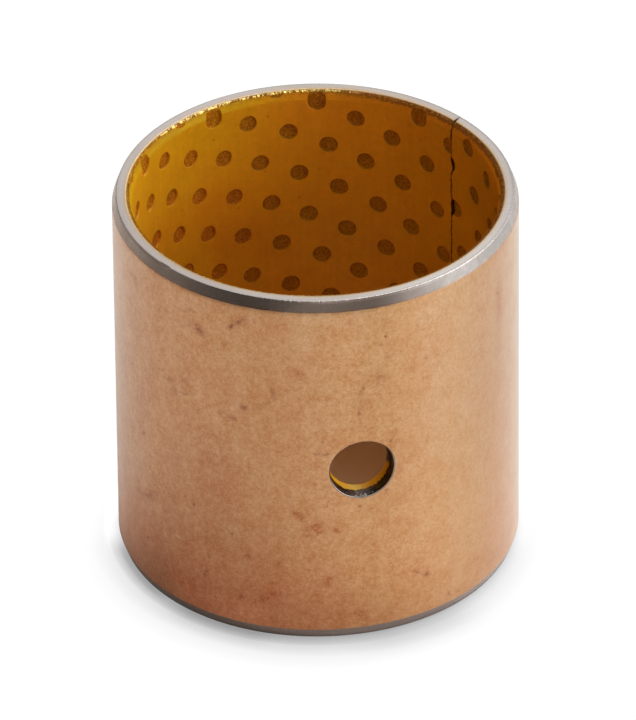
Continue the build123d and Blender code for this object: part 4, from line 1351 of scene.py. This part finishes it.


# =============================================================================
# Stage: a pale floor that glows for the camera, with a painted contact shadow; soft studio light; the camera
# =============================================================================
def floor():
    bm = bmesh.new()
    rings = [0.0235, 0.0260, 0.0330, 0.050, 0.090, 0.16]
    n = 128
    centre = bm.verts.new((0, 0, 0))
    loops = [[bm.verts.new((r * math.sin(2 * math.pi * k / n), -r * math.cos(2 * math.pi * k / n), 0)) for k in range(n)] for r in rings]
    inside = [bm.faces.new((centre, loops[0][k], loops[0][(k + 1) % n])) for k in range(n)]
    for A, B in zip(loops, loops[1:]):
        for k in range(n):
            bm.faces.new((A[k], A[(k + 1) % n], B[(k + 1) % n], B[k])).material_index = 1
    bmesh.ops.recalc_face_normals(bm, faces=bm.faces)
    if inside[0].normal.z < 0:
        bmesh.ops.reverse_faces(bm, faces=bm.faces)
    me = bpy.data.meshes.new("floor"); bm.to_mesh(me); bm.free()
    ob = bpy.data.objects.new("floor", me)
    bpy.context.scene.collection.objects.link(ob)
    plain = bpy.data.materials.new("floor_inside"); plain.use_nodes = True
    b = plain.node_tree.nodes["Principled BSDF"]
    # a warm tint painted on the floor inside the bore, standing in for amber bounce light
    b.inputs["Base Color"].default_value = (0.98, 0.91, 0.70, 1); b.inputs["Roughness"].default_value = 0.9
    white = bpy.data.materials.new("floor_glow_painted_shadow"); white.use_nodes = True
    t = white.node_tree; t.nodes.clear()
    out = t.nodes.new("ShaderNodeOutputMaterial")
    matt = t.nodes.new("ShaderNodeBsdfDiffuse"); matt.inputs["Color"].default_value = (0.88, 0.88, 0.88, 1)
    glow = t.nodes.new("ShaderNodeEmission")
    geo = t.nodes.new("ShaderNodeNewGeometry")
    lit = None
    for reach, power, azimuth, tip in FLOOR_SHADE:
        ao = t.nodes.new("ShaderNodeAmbientOcclusion"); ao.inputs["Distance"].default_value = reach; ao.samples = 12
        lean = t.nodes.new("ShaderNodeVectorMath"); lean.operation = "ADD"
        lean.inputs[1].default_value = (math.sin(azimuth * DEG) * tip, -math.cos(azimuth * DEG) * tip, 0)
        aim = t.nodes.new("ShaderNodeVectorMath"); aim.operation = "NORMALIZE"
        t.links.new(geo.outputs["Normal"], lean.inputs[0]); t.links.new(lean.outputs[0], aim.inputs[0])
        t.links.new(aim.outputs[0], ao.inputs["Normal"])
        soft = t.nodes.new("ShaderNodeMath"); soft.operation = "POWER"; soft.inputs[1].default_value = power
        t.links.new(ao.outputs["AO"], soft.inputs[0])
        if lit is None:
            lit = soft.outputs[0]
        else:
            m = t.nodes.new("ShaderNodeMath"); m.operation = "MULTIPLY"
            t.links.new(lit, m.inputs[0]); t.links.new(soft.outputs[0], m.inputs[1]); lit = m.outputs[0]
    # the painted contact shadow is not the same all the way round
    where = t.nodes.new("ShaderNodeSeparateXYZ"); t.links.new(t.nodes.new("ShaderNodeTexCoord").outputs["Object"], where.inputs[0])

    def calc(op, a, b):
        n = t.nodes.new("ShaderNodeMath"); n.operation = op
        for s, v in zip(n.inputs, (a, b)):
            if isinstance(v, bpy.types.NodeSocket):
                t.links.new(v, s)
            else:
                s.default_value = v
        return n.outputs[0]

    def ease(v, v0, v1):
        n = t.nodes.new("ShaderNodeMapRange"); n.interpolation_type = "SMOOTHSTEP"
        t.links.new(v, n.inputs["Value"]); n.inputs["From Min"].default_value = v0; n.inputs["From Max"].default_value = v1
        return n.outputs[0]

    fx, fy = where.outputs[0], where.outputs[1]
    turn = calc("ARCTAN2", fx, calc("MULTIPLY", fy, -1.0))
    away = calc("SUBTRACT", calc("SQRT", calc("ADD", calc("MULTIPLY", fx, fx), calc("MULTIPLY", fy, fy)), 0.0), R_OUT * 0.001)
    for (a0, a1), fall, (d0, d1), f in FLOOR_TURN:
        window = ease(turn, a0 * DEG, a1 * DEG)
        if fall:
            window = calc("SUBTRACT", window, ease(turn, fall[0] * DEG, fall[1] * DEG))
        term = calc("MULTIPLY", calc("MULTIPLY", window, ease(away, d1 * 0.001, d0 * 0.001)), f)
        lit = calc("MULTIPLY", lit, calc("ADD", term, 1.0))
    gain = t.nodes.new("ShaderNodeMath"); gain.operation = "MULTIPLY"; gain.inputs[1].default_value = FLOOR_GLOW
    t.links.new(lit, gain.inputs[0]); t.links.new(gain.outputs[0], glow.inputs["Strength"])
    # camera rays see the floor glow, dimmed by the painted contact shadow; other rays see a plain matt floor
    path = t.nodes.new("ShaderNodeLightPath"); mix = t.nodes.new("ShaderNodeMixShader")
    t.links.new(path.outputs["Is Camera Ray"], mix.inputs[0])
    t.links.new(matt.outputs[0], mix.inputs[1]); t.links.new(glow.outputs[0], mix.inputs[2])
    t.links.new(mix.outputs[0], out.inputs[0])
    me.materials.append(plain); me.materials.append(white)


def world(lobes, base, tint):
    w = bpy.data.worlds.new("studio"); bpy.context.scene.world = w; w.use_nodes = True
    t = w.node_tree; t.nodes.clear()
    out = t.nodes.new("ShaderNodeOutputWorld")
    tc = t.nodes.new("ShaderNodeTexCoord")
    unit = t.nodes.new("ShaderNodeVectorMath"); unit.operation = "NORMALIZE"
    t.links.new(tc.outputs["Generated"], unit.inputs[0])
    total = None
    for az, el, inner, outer, strength in lobes:
        az, el = az * DEG, el * DEG
        dot = t.nodes.new("ShaderNodeVectorMath"); dot.operation = "DOT_PRODUCT"
        t.links.new(unit.outputs[0], dot.inputs[0])
        dot.inputs[1].default_value = (math.sin(az) * math.cos(el), -math.cos(az) * math.cos(el), math.sin(el))
        lobe = t.nodes.new("ShaderNodeMapRange"); lobe.interpolation_type = "SMOOTHSTEP"
        for s, v in (("From Min", math.cos(outer * DEG)), ("From Max", math.cos(inner * DEG)), ("To Min", 0.0), ("To Max", strength)):
            lobe.inputs[s].default_value = v
        t.links.new(dot.outputs["Value"], lobe.inputs["Value"])
        if total is None:
            total = lobe.outputs[0]
        else:
            s = t.nodes.new("ShaderNodeMath"); s.operation = "ADD"
            t.links.new(total, s.inputs[0]); t.links.new(lobe.outputs[0], s.inputs[1]); total = s.outputs[0]
    s = t.nodes.new("ShaderNodeMath"); s.operation = "ADD"; s.inputs[1].default_value = base
    t.links.new(total, s.inputs[0])
    lit = t.nodes.new("ShaderNodeBackground"); lit.inputs["Color"].default_value = (*tint, 1)
    t.links.new(s.outputs[0], lit.inputs["Strength"])
    plain = t.nodes.new("ShaderNodeBackground"); plain.inputs["Color"].default_value = (1, 1, 1, 1)
    path = t.nodes.new("ShaderNodeLightPath"); mix = t.nodes.new("ShaderNodeMixShader")
    t.links.new(path.outputs["Is Camera Ray"], mix.inputs[0])
    t.links.new(lit.outputs[0], mix.inputs[1]); t.links.new(plain.outputs[0], mix.inputs[2])
    t.links.new(mix.outputs[0], out.inputs[0])


def camera():
    """The photograph's viewpoint; distances in outside radii, angles in radians."""
    focal, back, up, pan, tilt, roll = 12145.0489, 49.95993, 34.56735, 9.23e-05, 0.59178290, -0.01021467
    ahead = Vector((math.sin(pan) * math.cos(tilt), math.cos(pan) * math.cos(tilt), -math.sin(tilt)))
    right = ahead.cross(Vector((0, 0, 1))).normalized()
    top = right.cross(ahead)
    x = right * math.cos(roll) + top * math.sin(roll)
    y = -right * math.sin(roll) + top * math.cos(roll)
    cam = bpy.data.cameras.new("camera")
    ob = bpy.data.objects.new("camera", cam)
    bpy.context.scene.collection.objects.link(ob)
    m = Matrix((x, y, -ahead)).transposed().to_4x4()
    m.translation = Vector((0, -back, up)) * R_OUT * 0.001
    ob.matrix_world = m
    cam.sensor_fit = "AUTO"; cam.sensor_width = 36.0; cam.lens = focal * 36 / 720
    cam.clip_start, cam.clip_end = 0.1, 20
    bpy.context.scene.camera = ob


# The floor's painted contact shadow: (reach, power, azimuth the shadow leans away from, how far)
FLOOR_GLOW = 1.05
FLOOR_SHADE = [(0.0081, 0.283, 165.0, 3.97), (0.00404, 0.281, 165.0, 3.97), (0.00184, 0.493, 136.0, 4.36)]
# Where the painted shadow is stronger or weaker: (angles it comes in over), (angles it goes out over),
# (distances from the wall in mm, full and nothing), factor
FLOOR_TURN = [
    ((-76, -88), None, (0.4, 2.2), 0.33), ((-76, -88), None, (1.5, 4.6), 0.045), ((-84, -74), (-57, -48), (0.0, 0.60), -0.18), ((-50, -38), (-20, -11), (0.8, 3.6), -0.11),
    ((-50, -38), (-20, -11), (0.0, 0.70), -0.06), ((3, 20), (34, 52), (1.4, 6.0), -0.125), ((3, 20), (34, 52), (0.1, 0.8), 0.05),
    ((72, 84), None, (0.3, 2.4), 0.065),
]
# Soft lamps round the stage: (azimuth, elevation, inner and outer half angle, strength)
LOBES = [
    (0, -10, 0, 27, 0.170), (60, -10, 0, 27, 1.039), (90, -10, 0, 27, 0.166), (120, -10, 0, 27, 0.975),
    (150, -10, 0, 27, 0.431), (210, -10, 0, 27, 0.204), (240, -10, 0, 27, 0.421), (270, -10, 0, 27, 0.036),
    (300, -10, 0, 27, 0.083), (330, -10, 0, 27, 0.014), (0, 14, 0, 27, 0.061), (30, 14, 0, 27, 0.124),
    (90, 14, 0, 27, 2.072), (270, 14, 0, 27, 0.270), (0, 38, 0, 27, 1.095), (72, 38, 0, 27, 2.826),
    (144, 38, 0, 27, 1.920), (180, 38, 0, 27, 0.838), (252, 38, 0, 27, 0.187), (288, 38, 0, 27, 0.149),
    (144, 62, 0, 25, 4.290), (288, 62, 0, 25, 0.068),
]
floor()
world(LOBES, 0.051, (1.0, 1.0, 1.0))
camera()
bpy.context.scene.view_settings.view_transform = "Standard"
